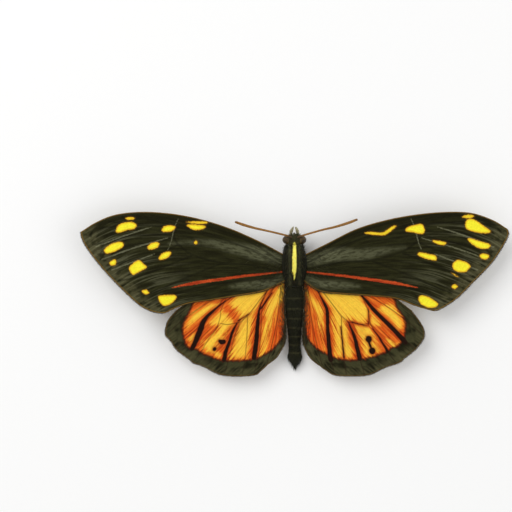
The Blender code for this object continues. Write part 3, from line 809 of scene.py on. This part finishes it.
LEFT_BARS = [
    [(5.6, 0.4, 0.06), (6.9, -2.6, 0.12), (7.3, -5.2, 0.34), (7.6, -9.2, 0.44), (8.1, -12.8, 0.48)],
    [(11.5, -5.8, 0.08), (12.3, -7.4, 0.24), (12.9, -9.2, 0.30), (13.7, -11.4, 0.36),
     (14.1, -13.2, 0.42)],
    [(12.0, -0.2, 0.08), (15.1, -2.4, 0.14), (17.9, -5.0, 0.42), (18.9, -7.4, 0.56),
     (20.5, -11.0, 0.42)],
    [(6.9, -3.0, 0.12), (6.5, -2.6, 0.12), (4.5, 0.2, 0.10)],
    [(11.3, -5.4, 0.10), (9.1, -4.0, 0.06)],
    [(14.2, -9.6, 0.45), (14.6, -9.7, 0.42), (15.0, -9.4, 0.3)],
    [(16.0, -11.0, 0.36), (16.05, -11.1, 0.36)],
]
RED_ORANGE = ((212, 76, 20), (238, 122, 38))
ORANGE_RAY = (152, 42, 12)
WINDOW_YELLOW = ((254, 206, 66), (240, 146, 42))
YELLOW_RAY = (206, 96, 26)
BAR_BROWN = (32, 16, 8)
BAR_FLANK = (172, 58, 18)
BORDER_OLIVE = ((27, 26, 10), (62, 61, 37))
BORDER_STREAK = (98, 92, 62)
BORDER_EDGE = (58, 22, 12)
HINDWING_VEIN = (40, 24, 14)
HINDWING_RIM = (120, 88, 44)
HINDWING_SHADE = (12, 9, 6)  # the shadow between scales
UNDER_ORANGE = (196, 140, 78)
UNDER_YELLOW = (238, 204, 130)
UNDER_BORDER = (104, 90, 64)
UNDER_BAR = (70, 50, 34)


def thorax_side(y, z):
    """Half width of the thorax at a place along it and a height: wide·√(1 - ((z - middle) / high)²)."""
    profile = smooth_curve(THORAX, 60)[::-1]
    middle, wide, high = (np.interp(y, profile[:, 0], profile[:, i]) for i in (1, 2, 3))
    return wide * np.sqrt(np.clip(1 - ((z - middle) / high) ** 2, 0.05, 1))


def wing_plan(outline, grid, root_span, level):
    """The wing seen from above, as a grid from the root out and from front to back: between its four edges
    a point is the sum of the two straight rulings, less what the four corners count twice."""
    root_y = np.linspace(*root_span, grid[1])
    root = np.column_stack([thorax_side(root_y, level - ROOT_DEPTH) + ROOT_GAP, root_y])
    front = np.array(outline["front"]) * HALF_SPAN
    back = np.array(outline["back"])[::-1] * HALF_SPAN
    outer = np.array(outline["outer"]) * HALF_SPAN
    front[0], back[0] = root[0], root[-1]
    outer = smooth_curve(np.vstack([outer, back[-1:]]), grid[1])
    front = smooth_curve(front, grid[0])
    back = smooth_curve(back, grid[0])
    u = np.linspace(0, 1, grid[0])[:, None, None]
    v = np.linspace(0, 1, grid[1])[None, :, None]
    ruled = (1 - v) * front[:, None] + v * back[:, None] + (1 - u) * root[None] + u * outer[None]
    corners = ((1 - u) * (1 - v) * root[0] + (1 - u) * v * root[-1]
               + u * (1 - v) * outer[0] + u * v * outer[-1])
    return ruled - corners


def to_segments(places, line):
    """Distance from each place to each piece of a line, how far along the piece the nearest point is, and
    the piece's first and last points."""
    first, last = line[None, :-1], line[None, 1:]
    step = last - first
    away = places[:, None] - first
    share = np.clip((away * step).sum(-1) / np.maximum((step**2).sum(-1), 1e-12), 0, 1)
    return np.linalg.norm(away - share[..., None] * step, axis=-1), share, first, last


def to_lines(places, lines, count=20):
    """Distance to the nearest of some smooth lines, less the half width that a third column gives."""
    nearest = np.full(len(places), 1e3)
    for stations in lines:
        line = smooth_curve(stations, count)
        gap, share, _, _ = to_segments(places, line[:, :2])
        if line.shape[1] == 3:
            gap = gap - (line[:-1, 2] + share * np.diff(line[:, 2]))
        nearest = np.minimum(nearest, gap.min(axis=1))
    return nearest


def to_outlines(places, outlines, count=90):
    """Distance to the nearest of some closed smooth outlines, negative inside. A place is inside where a
    line from it towards +X crosses the outline an odd number of times."""
    nearest = np.full(len(places), 1e3)
    for stations in outlines:
        gap, _, first, last = to_segments(places, smooth_curve(stations, count, closed=True))
        x, y = places[:, :1], places[:, 1:]
        spans = (first[..., 1] > y) != (last[..., 1] > y)
        rise = np.where(last[..., 1] == first[..., 1], 1, last[..., 1] - first[..., 1])
        cross = first[..., 0] + (y - first[..., 1]) / rise * (last[..., 0] - first[..., 0])
        inside = (spans & (x < cross)).sum(axis=1) % 2 == 1
        gap = gap.min(axis=1)
        nearest = np.minimum(nearest, np.where(inside, -gap, gap))
    return nearest


def wing_sheet(plan, level, root_back, camber, droop, vein, side):
    """A closed thin sheet. Its upper face is level + rise·reach - sag·reach² + camber·sin πu·sin πv,
    less the droop behind the root, plus a rounded ridge on each vein and a slack hollow between veins.
    The lower face has the same ridges downwards and lies a membrane's thickness below."""
    rows, columns = plan.shape[:2]
    u = np.linspace(0, 1, rows)[:, None]
    v = np.linspace(0, 1, columns)[None]
    reach = np.clip(plan[..., 0] - ROOT_REACH, 0, None)
    z = (level + WING_RISE * reach - WING_SAG * reach**2
         + camber * np.sin(math.pi * u) * np.sin(math.pi * v)
         - droop * np.clip(root_back - plan[..., 1], 0, None))
    near = vein.reshape(rows, columns)
    ridge = VEIN_RIDGE[0] * np.exp(-(near / VEIN_RIDGE[1]) ** 2) * (1 - 0.6 * u)
    hollow = SLACK[0] * (1 - np.exp(-(near / SLACK[1]) ** 2)) * np.sin(math.pi * u) ** 0.5
    upper = np.stack([side * plan[..., 0], plan[..., 1], z + ridge - hollow], axis=-1)
    thick = MEMBRANE[0] + (MEMBRANE[1] - MEMBRANE[0]) * u**0.5 + 1.6 * ridge
    lower = upper - thick[..., None] * (0, 0, 1)
    index = np.arange(rows * columns).reshape(rows, columns)
    top = np.stack([index[:-1, :-1], index[:-1, 1:], index[1:, 1:], index[1:, :-1]], axis=-1)
    top = top.reshape(-1, 4)
    rim = np.concatenate([index[0, :-1], index[:-1, -1], index[-1, :0:-1], index[:0:-1, 0]])
    after = np.roll(rim, -1)
    wall = np.stack([after, rim, rim + rows * columns, after + rows * columns], axis=-1)
    points = np.vstack([upper.reshape(-1, 3), lower.reshape(-1, 3)])
    return upper, (points, [top, top[:, ::-1] + rows * columns, wall])


def to_free_edge(plan):
    """Distance of each point of a wing to its front, outer and hind edges."""
    border = np.vstack([plan[:, 0], plan[-1], plan[::-1, -1]])
    return np.min(to_segments(plan.reshape(-1, 2), border[::3])[0], axis=1)


def both_faces(*columns):
    """Three numbers for each point of the upper face, and the same again for the lower one."""
    upper = np.stack(np.broadcast_arrays(*columns), axis=-1)
    return np.vstack([upper, upper])


def wing_grain(grid, size):
    """Where each point is along and across the wing in the rows that its scales lie in, and which face it
    is on: 1 above and 0 below."""
    u, v = np.meshgrid(np.linspace(0, 1, grid[0]), np.linspace(0, 1, grid[1]), indexing="ij")
    grain = both_faces(u.ravel() * size[0], v.ravel() * size[1], 1.0)
    grain[grid[0] * grid[1]:, 2] = 0.0
    return grain


def hindwing_paint():
    """Red-orange streaked with darker rays, yellow in the windows, dark brown on bars and dots, and a
    smoky black border, each known by the distance to its outline. Noise along the rows of scales is
    added to the distances, so that every edge is ragged. The lower face is paler."""
    paint = Paint("hindwing_scales", Specular_IOR_Level=0.06)
    field, window, dark = paint.carried("marks").parts()
    vein, rim, _ = paint.carried("veins").parts()
    grain = paint.carried("grain")
    upper = grain.parts()[2]
    scale = paint.cells(grain.stretched(1.0, 1.7, 0.0), 0.26, "Color").parts()[0]
    relief = paint.cells(grain.stretched(1.0, 1.7, 0.0), 0.26)
    streak = paint.noise(grain.stretched(0.22, 2.6, 0.0), 1.0, 3.0)
    ray = paint.noise(grain.stretched(0.12, 4.5, 0.3), 1.0, 2.0)
    cloud = paint.noise(grain.stretched(0.5, 0.5, 1.0), 1.0, 3.0)
    ragged = (scale - 0.5) * 0.22 + (streak - 0.5) * 1.3
    orange = paint.mix(streak.above(0.38, 0.62), *RED_ORANGE)
    orange = paint.mix(ray.above(0.50, 0.60) * 0.75, orange, ORANGE_RAY)
    yellow = paint.mix((streak + window * 0.22).above(0.22, 0.56), *WINDOW_YELLOW)
    yellow = paint.mix(ray.above(0.52, 0.62) * 0.45, yellow, YELLOW_RAY)
    blurred = window + (streak - 0.5) * 3.0 + (ray - 0.5) * 2.0 + (scale - 0.5) * 0.2
    colour = paint.mix(blurred.below(-0.55, 0.15), orange, yellow)
    colour = paint.mix((dark + ragged * 0.4).below(0.0, 0.5) * 0.7, colour, BAR_FLANK)
    outside = field + ragged * 0.7
    border = paint.mix(cloud.above(0.38, 0.6), *BORDER_OLIVE)
    border = paint.mix(rim.below(0.5, 2.4) * streak.above(0.42, 0.6) * 0.35, border, BORDER_STREAK)
    colour = paint.mix(outside.above(-0.05, 0.1), colour, border)
    colour = paint.mix(outside.math("ABSOLUTE", outside).below(0.1, 0.35) * 0.8, colour, BORDER_EDGE)
    colour = paint.mix((dark + ragged * 0.25).below(-0.06, 0.08), colour, BAR_BROWN)
    colour = paint.mix(vein.below(0.05, 0.16) * 0.6, colour, HINDWING_VEIN)
    colour = paint.mix(rim.below(0.06, 0.2) * 0.5, colour, HINDWING_RIM)
    colour = paint.mix(scale.above(0.0, 1.0) * 0.14, colour, HINDWING_SHADE)
    pale = paint.mix((window + ragged).below(-0.1, 0.3), UNDER_ORANGE, UNDER_YELLOW)
    pale = paint.mix((field + ragged).above(-0.1, 0.2), pale, UNDER_BORDER)
    pale = paint.mix((dark + ragged * 0.25).below(-0.1, 0.1), pale, UNDER_BAR)
    colour = paint.mix(upper, pale, colour)
    return paint.finish(colour, 0.6 + scale * 0.25, relief.below(0.0, 0.9) + streak * 0.5, 0.03)


hindwing_scales = hindwing_paint()
hindwing_faces = {}
for word, side, outline, field_line, windows, bars in (
        ("left", -1, LEFT_HINDWING, LEFT_FIELD, LEFT_WINDOWS, LEFT_BARS),
        ("right", 1, RIGHT_HINDWING, RIGHT_FIELD, RIGHT_WINDOWS, RIGHT_BARS)):
    plan = wing_plan(outline, HINDWING_GRID, HINDWING_ROOT, HINDWING_LEVEL)
    places = plan.reshape(-1, 2)
    vein = to_lines(places, HINDWING_VEINS)
    face, shape = wing_sheet(plan, HINDWING_LEVEL, HINDWING_ROOT[1], HINDWING_CAMBER, HINDWING_DROOP,
                             vein, side)
    hindwing_faces[word] = face
    add_piece(f"{word}_hindwing_scales", shape, hindwing_scales, "hindwing_scales", f"{word}_hindwing",
              marks=both_faces(to_outlines(places, [field_line]), to_outlines(places, windows),
                               to_lines(places, bars, 24)),
              veins=both_faces(vein, to_free_edge(plan), 0.0),
              grain=wing_grain(HINDWING_GRID, HINDWING_GRAIN))


# Forewings.
# Built like the hindwings, but longer and stiffer, with the veins crowded together along the front edge.
# The scales are black to olive, with yellow spots and a red line along the hind edge.

FOREWING_LEVEL = 5.4
FOREWING_CAMBER = 0.55
FOREWING_ROOT = (8.0, 2.6)
FOREWING_GRID = (270, 130)
FOREWING_GRAIN = (42.0, 17.0)
RIGHT_FOREWING = {
    "front": [(0.085, 0.209), (0.148, 0.235), (0.289, 0.305), (0.429, 0.347), (0.570, 0.373),
              (0.711, 0.385), (0.828, 0.380), (0.927, 0.347), (0.992, 0.308)],
    "outer": [(0.992, 0.308), (1.000, 0.282), (0.979, 0.235), (0.923, 0.150), (0.843, 0.066),
              (0.758, -0.019), (0.683, -0.068), (0.648, -0.077)],
    "back": [(0.627, -0.073), (0.566, -0.054), (0.477, -0.021), (0.378, -0.009), (0.237, 0.000),
             (0.120, 0.014), (0.075, 0.040)],
}
LEFT_FOREWING = {
    "front": [(0.082, 0.207), (0.162, 0.246), (0.303, 0.308), (0.444, 0.352), (0.585, 0.378),
              (0.725, 0.385), (0.842, 0.371), (0.930, 0.336), (1.000, 0.292)],
    "outer": [(1.000, 0.292), (0.993, 0.258), (0.963, 0.205), (0.898, 0.122), (0.819, 0.037),
              (0.729, -0.047), (0.668, -0.080), (0.620, -0.089)],
    "back": [(0.600, -0.086), (0.561, -0.066), (0.491, -0.042), (0.397, -0.028), (0.279, -0.009),
             (0.150, 0.014), (0.075, 0.040)],
}
FOREWING_VEINS = [
    [(2.6, 7.0), (10.0, 11.3), (18.0, 14.0), (25.0, 15.4), (30.0, 16.2)],
    [(2.6, 6.3), (10.0, 9.8), (18.0, 12.4), (24.0, 13.8), (24.5, 13.8)],
    [(19.0, 12.7), (27.0, 15.2), (33.0, 16.2)],
    [(23.0, 13.6), (30.0, 15.4), (36.0, 15.9)],
    [(24.5, 13.8), (32.0, 14.4), (38.8, 15.0)],
    [(24.5, 13.8), (32.0, 14.2), (41.4, 13.6), (42.5, 12.0)],
    [(25.2, 12.6), (35.0, 12.0), (39.0, 11.0), (42.2, 10.4)],
    [(25.1, 11.9), (28.0, 11.1), (31.0, 10.4), (35.0, 9.4), (38.9, 8.6), (41.0, 8.5)],
    [(24.2, 10.4), (30.0, 8.2), (34.0, 7.3), (39.3, 6.2)],
    [(21.5, 8.2), (28.0, 5.7), (33.0, 3.9), (36.6, 3.2)],
    [(15.5, 6.6), (24.0, 3.3), (29.0, 1.0), (33.0, 0.1)],
    [(2.6, 5.0), (9.0, 6.3), (15.5, 6.8), (21.5, 8.5), (24.2, 10.4)],
    [(2.6, 3.9), (10.0, 3.3), (14.4, 2.8), (21.0, 1.7), (26.0, 0.4), (29.8, -1.4), (31.1, -1.9)],
    [(24.5, 13.8), (25.2, 12.3), (24.6, 10.8), (22.8, 9.2)],
]
LEFT_VEIN_FIT = ((0.955, 1.0), (0.0, -0.55))  # the left wing's veins are the right's, scaled and shifted
PALE_LINES = [[(28.5, 13.4, 0.04), (34.0, 11.6, 0.08), (39.7, 9.4, 0.05)],
              [(25.3, 11.2, 0.04), (32.0, 9.2, 0.08), (38.5, 6.9, 0.05)],
              [(27.9, 8.0, 0.04), (32.5, 6.3, 0.08), (36.5, 4.8, 0.05)],
              [(23.2, 15.0, 0.02), (23.9, 13.4, 0.04), (24.7, 10.2, 0.04), (25.3, 8.8, 0.0)]]
HIND_BAND = [(2.8, 3.1, 0.6), (5.0, 2.1, 0.8), (9.0, 1.8, 0.9), (13.0, 1.5, 0.3)]
RIGHT_BANDS = [HIND_BAND, [(3.2, 6.6, 1.1), (6.0, 7.4, 1.3), (9.0, 8.0, 1.3), (12.0, 7.9, 1.2),
                           (15.0, 8.1, 1.1), (18.0, 8.7, 0.7), (22.0, 9.3, 0.2)]]
LEFT_BANDS = [HIND_BAND, [(3.2, 6.9, 1.1), (7.0, 8.1, 1.4), (12.0, 9.2, 1.2), (16.0, 10.1, 0.8),
                          (20.0, 10.4, 0.5), (25.0, 10.1, 0.2)]]  # paler bands, with half their width
RED_LINE = [(2.6, 4.4, 0.10), (10.0, 3.6, 0.19), (14.4, 3.0, 0.23), (20.0, 2.2, 0.26),
            (24.5, 1.3, 0.04)]
RIGHT_SPOTS = [
    [(33.4, 15.4), (34.6, 15.85), (35.8, 15.55), (34.6, 15.15)],
    [(34.1, 14.4), (34.5, 14.9), (35.3, 15.0), (36.3, 14.6), (37.9, 13.4), (39.0, 12.6), (38.7, 12.2),
     (37.1, 12.2), (35.5, 12.5), (34.3, 13.0), (34.0, 13.6)],
    [(34.5, 10.9), (35.1, 11.1), (37.1, 10.5), (38.9, 9.9), (38.8, 9.3), (38.1, 9.0), (36.7, 9.2),
     (35.3, 10.0)],
    [(36.9, 7.8), (37.5, 8.1), (38.5, 7.9), (38.8, 7.5), (38.3, 7.0), (37.5, 7.0), (36.9, 7.4)],
    [(31.5, 5.6), (31.7, 6.3), (32.5, 6.8), (33.5, 6.6), (34.5, 6.2), (35.0, 5.5), (34.5, 4.8),
     (33.9, 4.4), (32.5, 4.5), (31.7, 4.9)],
    [(31.2, 4.25), (32.0, 3.9), (32.7, 3.4), (31.9, 3.7)],
    [(31.3, 1.5), (31.9, 1.94), (32.5, 1.5), (31.9, 1.06)],
    [(24.7, -0.8), (25.1, -0.3), (25.9, -0.3), (27.1, -0.8), (28.3, -1.6), (28.6, -2.0), (28.1, -2.6),
     (26.7, -2.7), (25.5, -2.2), (24.9, -1.6)],
    [(24.5, 8.0), (25.1, 8.3), (27.1, 7.9), (28.1, 7.6), (28.2, 6.8), (27.7, 6.7), (26.1, 7.1),
     (24.9, 7.6)],
    [(27.4, 10.6), (27.9, 10.7), (29.3, 10.5), (30.2, 10.2), (29.7, 9.8), (28.7, 9.9), (27.8, 10.3)],
    [(22.1, 12.8), (22.7, 13.4), (24.1, 13.8), (25.4, 13.9), (25.9, 12.8), (25.6, 12.1), (24.5, 12.1),
     (23.3, 12.4), (22.3, 12.5)],
    [(14.0, 12.2), (15.1, 12.4), (17.5, 12.3), (18.7, 13.0), (19.4, 13.5), (20.3, 13.6), (19.7, 13.0),
     (18.7, 12.2), (17.9, 11.8), (16.3, 11.8), (14.7, 12.0)],
]
LEFT_SPOTS = [
    [(31.9, 15.1), (32.8, 15.4), (33.7, 15.1), (32.8, 14.8)],
    [(35.6, 12.4), (35.4, 13.3), (34.7, 14.0), (33.7, 14.3), (32.7, 14.4), (31.7, 14.0), (31.5, 13.6),
     (32.1, 13.0), (33.3, 12.8), (34.9, 12.3)],
    [(37.9, 8.9), (37.3, 9.5), (36.1, 10.2), (34.7, 10.4), (34.1, 10.1), (34.3, 9.4), (35.3, 8.8),
     (36.5, 8.3), (37.5, 8.1), (37.9, 8.4)],
    [(36.9, 6.3), (36.3, 6.8), (35.8, 6.9), (35.5, 6.4), (35.9, 5.8), (36.7, 5.8)],
    [(33.0, 5.2), (32.5, 5.9), (31.5, 6.6), (30.8, 6.7), (30.1, 6.0), (29.5, 5.3), (30.7, 4.6),
     (32.1, 3.9), (32.7, 4.4)],
    [(29.0, 0.25), (29.6, 0.84), (30.4, 0.6), (29.8, 0.0)],
    [(27.2, -0.7), (26.7, -0.3), (24.1, -0.2), (23.6, -0.7), (24.5, -1.8), (25.9, -2.3), (26.7, -1.8)],
    [(26.5, 12.8), (26.1, 13.4), (25.1, 13.7), (24.1, 13.6), (23.8, 13.2), (24.5, 12.6), (25.5, 12.4),
     (26.3, 12.5)],
    [(21.6, 14.4), (17.9, 14.5), (17.5, 14.15), (19.1, 14.0)],
    [(21.5, 13.7), (20.9, 13.9), (17.9, 13.6), (18.3, 13.0), (19.5, 12.8), (20.5, 13.0), (21.3, 13.5)],
    [(29.3, 9.4), (28.7, 10.0), (27.9, 10.3), (27.0, 10.2), (27.3, 9.4), (28.1, 9.0), (29.0, 8.9)],
    [(27.0, 7.2), (26.6, 7.9), (25.7, 8.4), (24.8, 8.5), (24.7, 8.0), (25.3, 7.3), (26.3, 6.9),
     (26.9, 6.9)],
    [(19.34, 10.3), (19.7, 10.66), (20.06, 10.3), (19.7, 9.94)],
]
WING_BLACK = ((27, 26, 8), (45, 45, 21))
BAND_OLIVE = (97, 98, 72)
RAY_GREY = (104, 104, 78)
TIP_OLIVE = (102, 98, 68)
FRONT_EDGE = (33, 31, 10)
FOREWING_VEIN = (18, 17, 6)
PALE_VEIN = (124, 124, 96)
SPOT_EDGE = (108, 72, 24)
SPOT_YELLOW = ((236, 184, 40), (254, 242, 52))  # next to a spot's edge, and inside it
CRIMSON = ((156, 50, 22), (200, 78, 34))
FOREWING_RIM = (146, 108, 44)
FOREWING_SHADE = (8, 7, 4)
UNDER_FOREWING = ((74, 64, 44), (108, 96, 70))
UNDER_SPOT = (236, 218, 130)
UNDER_VEIN = (52, 42, 28)


def forewing_paint():
    """Olive black with paler mottled bands, grey rays in the outer half and pale lines on some veins,
    yellow spots that turn orange at their edge, a red line, and a thin ochre rim. `along` and `across`
    are millimetres from the root and from the front edge."""
    paint = Paint("forewing_scales", Specular_IOR_Level=0.06)
    spot, red, band = paint.carried("marks").parts()
    vein, rim, pale_line = paint.carried("veins").parts()
    grain = paint.carried("grain")
    along, across, upper = grain.parts()
    scale = paint.cells(grain.stretched(1.0, 1.7, 0.0), 0.26, "Color").parts()[0]
    relief = paint.cells(grain.stretched(1.0, 1.7, 0.0), 0.26)
    streak = paint.noise(grain.stretched(0.20, 2.2, 0.0), 1.0, 3.0)
    ray = paint.noise(grain.stretched(0.10, 3.6, 0.4), 1.0, 2.0)
    cloud = paint.noise(grain.stretched(0.55, 1.5, 1.0), 1.0, 4.0)
    ragged = (scale - 0.5) * 0.22 + (streak - 0.5) * 0.3
    ground = paint.mix(streak.above(0.35, 0.7), *WING_BLACK)
    mottle = cloud.above(0.36, 0.56) * (0.7 + ray.above(0.4, 0.6) * 0.3)
    fade = 1.15 - along.above(4.5, 9.5) * 0.35 - along.above(14.0, 22.0) * 0.15
    pale_share = (band + streak - 0.5).below(-0.8, 0.5) * (mottle + 0.4) * fade * 0.72
    ground = paint.mix(pale_share, ground, BAND_OLIVE)
    ground = paint.mix(along.above(20.0, 38.0) * ray.above(0.50, 0.64) * 0.45, ground, RAY_GREY)
    ground = paint.mix(along.above(37.5, 40.5) * mottle * 0.55, ground, TIP_OLIVE)
    ground = paint.mix(across.below(0.5, 2.2) * along.below(34.0, 38.0) * 0.85, ground, FRONT_EDGE)
    ground = paint.mix(vein.below(0.08, 0.3) * 0.5, ground, FOREWING_VEIN)
    ground = paint.mix((pale_line + ragged * 0.4).below(0.0, 0.12) * 0.55, ground, PALE_VEIN)
    ground = paint.mix((spot + ragged * 0.5).below(0.05, 0.3) * 0.6, ground, SPOT_EDGE)
    yellow = paint.mix(spot.below(-0.4, -0.03), *SPOT_YELLOW)
    colour = paint.mix((spot + ragged * 0.5).below(-0.06, 0.08), ground, yellow)
    crimson = paint.mix(streak.above(0.35, 0.65), *CRIMSON)
    colour = paint.mix((red + ragged * 0.6).below(-0.05, 0.12), colour, crimson)
    colour = paint.mix(rim.below(0.06, 0.26) * 0.65, colour, FOREWING_RIM)
    colour = paint.mix(scale.above(0.0, 1.0) * 0.14, colour, FOREWING_SHADE)
    pale = paint.mix(cloud.above(0.35, 0.65), *UNDER_FOREWING)
    pale = paint.mix((spot + ragged * 0.5).below(-0.1, 0.1), pale, UNDER_SPOT)
    pale = paint.mix(vein.below(0.05, 0.2) * 0.6, pale, UNDER_VEIN)
    colour = paint.mix(upper, pale, colour)
    return paint.finish(colour, 0.6 + scale * 0.25, relief.below(0.0, 0.9) + streak * 0.5, 0.03)


forewing_scales = forewing_paint()
forewing_faces = {}
for word, side, outline, spots, bands in (("left", -1, LEFT_FOREWING, LEFT_SPOTS, LEFT_BANDS),
                                          ("right", 1, RIGHT_FOREWING, RIGHT_SPOTS, RIGHT_BANDS)):
    fit, shift = ((1.0, 1.0), (0.0, 0.0)) if side > 0 else LEFT_VEIN_FIT
    veins = [np.array(line) * fit + shift for line in FOREWING_VEINS]
    plan = wing_plan(outline, FOREWING_GRID, FOREWING_ROOT, FOREWING_LEVEL)
    places = plan.reshape(-1, 2)
    vein = to_lines(places, veins)
    face, shape = wing_sheet(plan, FOREWING_LEVEL, FOREWING_ROOT[1], FOREWING_CAMBER, 0.0, vein, side)
    forewing_faces[word] = face
    add_piece(f"{word}_forewing_scales", shape, forewing_scales, "forewing_scales", f"{word}_forewing",
              marks=both_faces(to_outlines(places, spots), to_lines(places, [RED_LINE]),
                               to_lines(places, bands)),
              veins=both_faces(vein, to_free_edge(plan), to_lines(places, PALE_LINES)),
              grain=wing_grain(FOREWING_GRID, FOREWING_GRAIN))


# Wing fringes.
# The edges carry a row of long narrow scales that stand out past the membrane, and the parts next to the
# body have soft hair. Each one is rooted in the wing's edge.

FRINGE_STEP = 0.055  # between two scales of the fringe
FRINGE_LENGTHS = (0.22, 0.42)
FRINGE_WIDTH = 0.075
HINDWING_HAIRS = 900
HINDWING_HAIR_WAY = (-0.45, -0.85, 0.05)  # on the right: back and inwards, over the gap to the abdomen
FOREWING_HAIRS = 520
FOREWING_HAIR_WAY = (0.75, -0.6, 0.22)  # on the right: outwards and back


def fringe(edge, inner, rng):
    """Scales along an edge, each pointing away from the row of points just inside it."""
    along = np.concatenate([[0], np.cumsum(np.linalg.norm(np.diff(edge, axis=0), axis=1))])
    at = np.arange(0.0, along[-1], FRINGE_STEP)
    roots = np.column_stack([np.interp(at, along, column) for column in edge.T])
    behind = np.column_stack([np.interp(at, along, column) for column in inner.T])
    ways = unit(roots - behind) + rng.normal(0, 0.18, roots.shape) * (1, 1, 0.3)
    lengths = rng.uniform(*FRINGE_LENGTHS, len(roots))
    return strands(roots - (0, 0, 0.03), ways, lengths, FRINGE_WIDTH, 0.08)


def near_body(face, out, reach):
    """How likely a hair is at each place of a wing: exp(-((|x| - out) / reach)²)."""
    return np.exp(-((np.abs(face[:-1, :-1, 0]) - out) / reach) ** 2)


rng = np.random.default_rng(21)
for word, side in (("left", -1), ("right", 1)):
    for wing, faces, brown in (("hindwing", hindwing_faces, 0.25), ("forewing", forewing_faces, 0.12)):
        face = faces[word]
        edge = np.vstack([face[-1], face[-2::-1, -1]])
        inner = np.vstack([face[-2], face[-2::-1, -2]])
        scales = fringe(edge, inner, rng)
        light = rng.uniform(0.1, 0.8, len(scales[0]) // HAIR_POINTS)
        add_hair(f"{word}_{wing}_fringe", scales, light, brown)
    face = hindwing_faces[word]
    before_tail = np.clip((face[:-1, :-1, 1] + 11.0) / 3.0, 0, 1)
    roots, _ = scatter(face, HINDWING_HAIRS, rng, near_body(face, 1.6, 0.9) * before_tail)
    ways = np.array(HINDWING_HAIR_WAY) * (side, 1, 1) + rng.normal(0, 0.13, roots.shape)
    hair_shape = strands(roots, ways, rng.uniform(0.5, 1.1, len(roots)), 0.05, 0.1)
    light = rng.uniform(0.0, 0.7, len(roots))
    add_hair(f"{word}_hindwing_hair", hair_shape, light, rng.random(len(roots)) < 0.3)
    face = forewing_faces[word]
    roots, _ = scatter(face, FOREWING_HAIRS, rng, near_body(face, 2.4, 3.2))
    ways = np.array(FOREWING_HAIR_WAY) * (side, 1, 1) + rng.normal(0, 0.16, roots.shape)
    hair_shape = strands(roots, ways, rng.uniform(0.5, 1.2, len(roots)), 0.045, 0.12)
    add_hair(f"{word}_forewing_hair", hair_shape, rng.uniform(0.1, 0.8, len(roots)), 0.1)


# Surface, light and camera.
# A plain pale table top, soft light from a wide panel on the upper left with a weaker one on the right, and
# a camera that looks straight down.

SURFACE_HALF = 1.5  # metres
SURFACE_WHITE = ((250.5, 250.5, 249.9), (249.4, 249.4, 248.8))
PANELS = [("panel_left", (-0.28, 0.26, 0.52), 0.42, 1.75),
          ("panel_right", (0.42, -0.10, 0.42), 0.50, 0.6)]  # place and width in metres, and watts
ROOM_LIGHT = 0.62  # strength of the even light from all around
PHOTO_CENTRE = (-7.7, 7.6)  # what the middle of the picture shows, in millimetres
PHOTO_WIDTH = 102.4
LENS_MM = 100.0
SENSOR_MM = 36.0
WING_HEIGHT = 5.5


def plain_paint(name, colours, roughness):
    """One even colour with the faintest grain."""
    paint = Paint(name, Specular_IOR_Level=0.1)
    fleck = paint.noise(paint.place(), 0.8, 2.0)
    return paint.finish(paint.mix(fleck, *colours), roughness, fleck, 0.002)


def add_panel(name, place, size, watts):
    """A square soft light that faces the specimen."""
    lamp = bpy.data.lights.new(name, "AREA")
    lamp.shape = "SQUARE"
    lamp.size = size
    lamp.energy = watts
    panel = bpy.data.objects.new(name, lamp)
    panel.location = place
    panel.rotation_euler = (-panel.location).to_track_quat("-Z", "Y").to_euler()
    bpy.context.scene.collection.objects.link(panel)


sheet = bpy.data.meshes.new("surface")
far = SURFACE_HALF
sheet.from_pydata([(-far, -far, 0), (far, -far, 0), (far, far, 0), (-far, far, 0)], [], [(0, 1, 2, 3)])
sheet.materials.append(plain_paint("surface_white", SURFACE_WHITE, 0.9))
surface = bpy.data.objects.new("surface", sheet)
bpy.context.scene.collection.objects.link(surface)

for panel in PANELS:
    add_panel(*panel)
world = bpy.data.worlds.new("studio")
world.use_nodes = True
world.node_tree.nodes["Background"].inputs["Color"].default_value = (1.0, 1.0, 1.0, 1.0)
world.node_tree.nodes["Background"].inputs["Strength"].default_value = ROOM_LIGHT
bpy.context.scene.world = world
bpy.context.scene.view_settings.view_transform = "Standard"

view = bpy.data.cameras.new("camera")
view.lens = LENS_MM
view.sensor_width = SENSOR_MM
view.clip_start = 0.01
camera = bpy.data.objects.new("camera", view)
camera.location = (PHOTO_CENTRE[0] * MM, PHOTO_CENTRE[1] * MM,
                   (WING_HEIGHT + PHOTO_WIDTH * LENS_MM / SENSOR_MM) * MM)
bpy.context.scene.collection.objects.link(camera)
bpy.context.scene.camera = camera
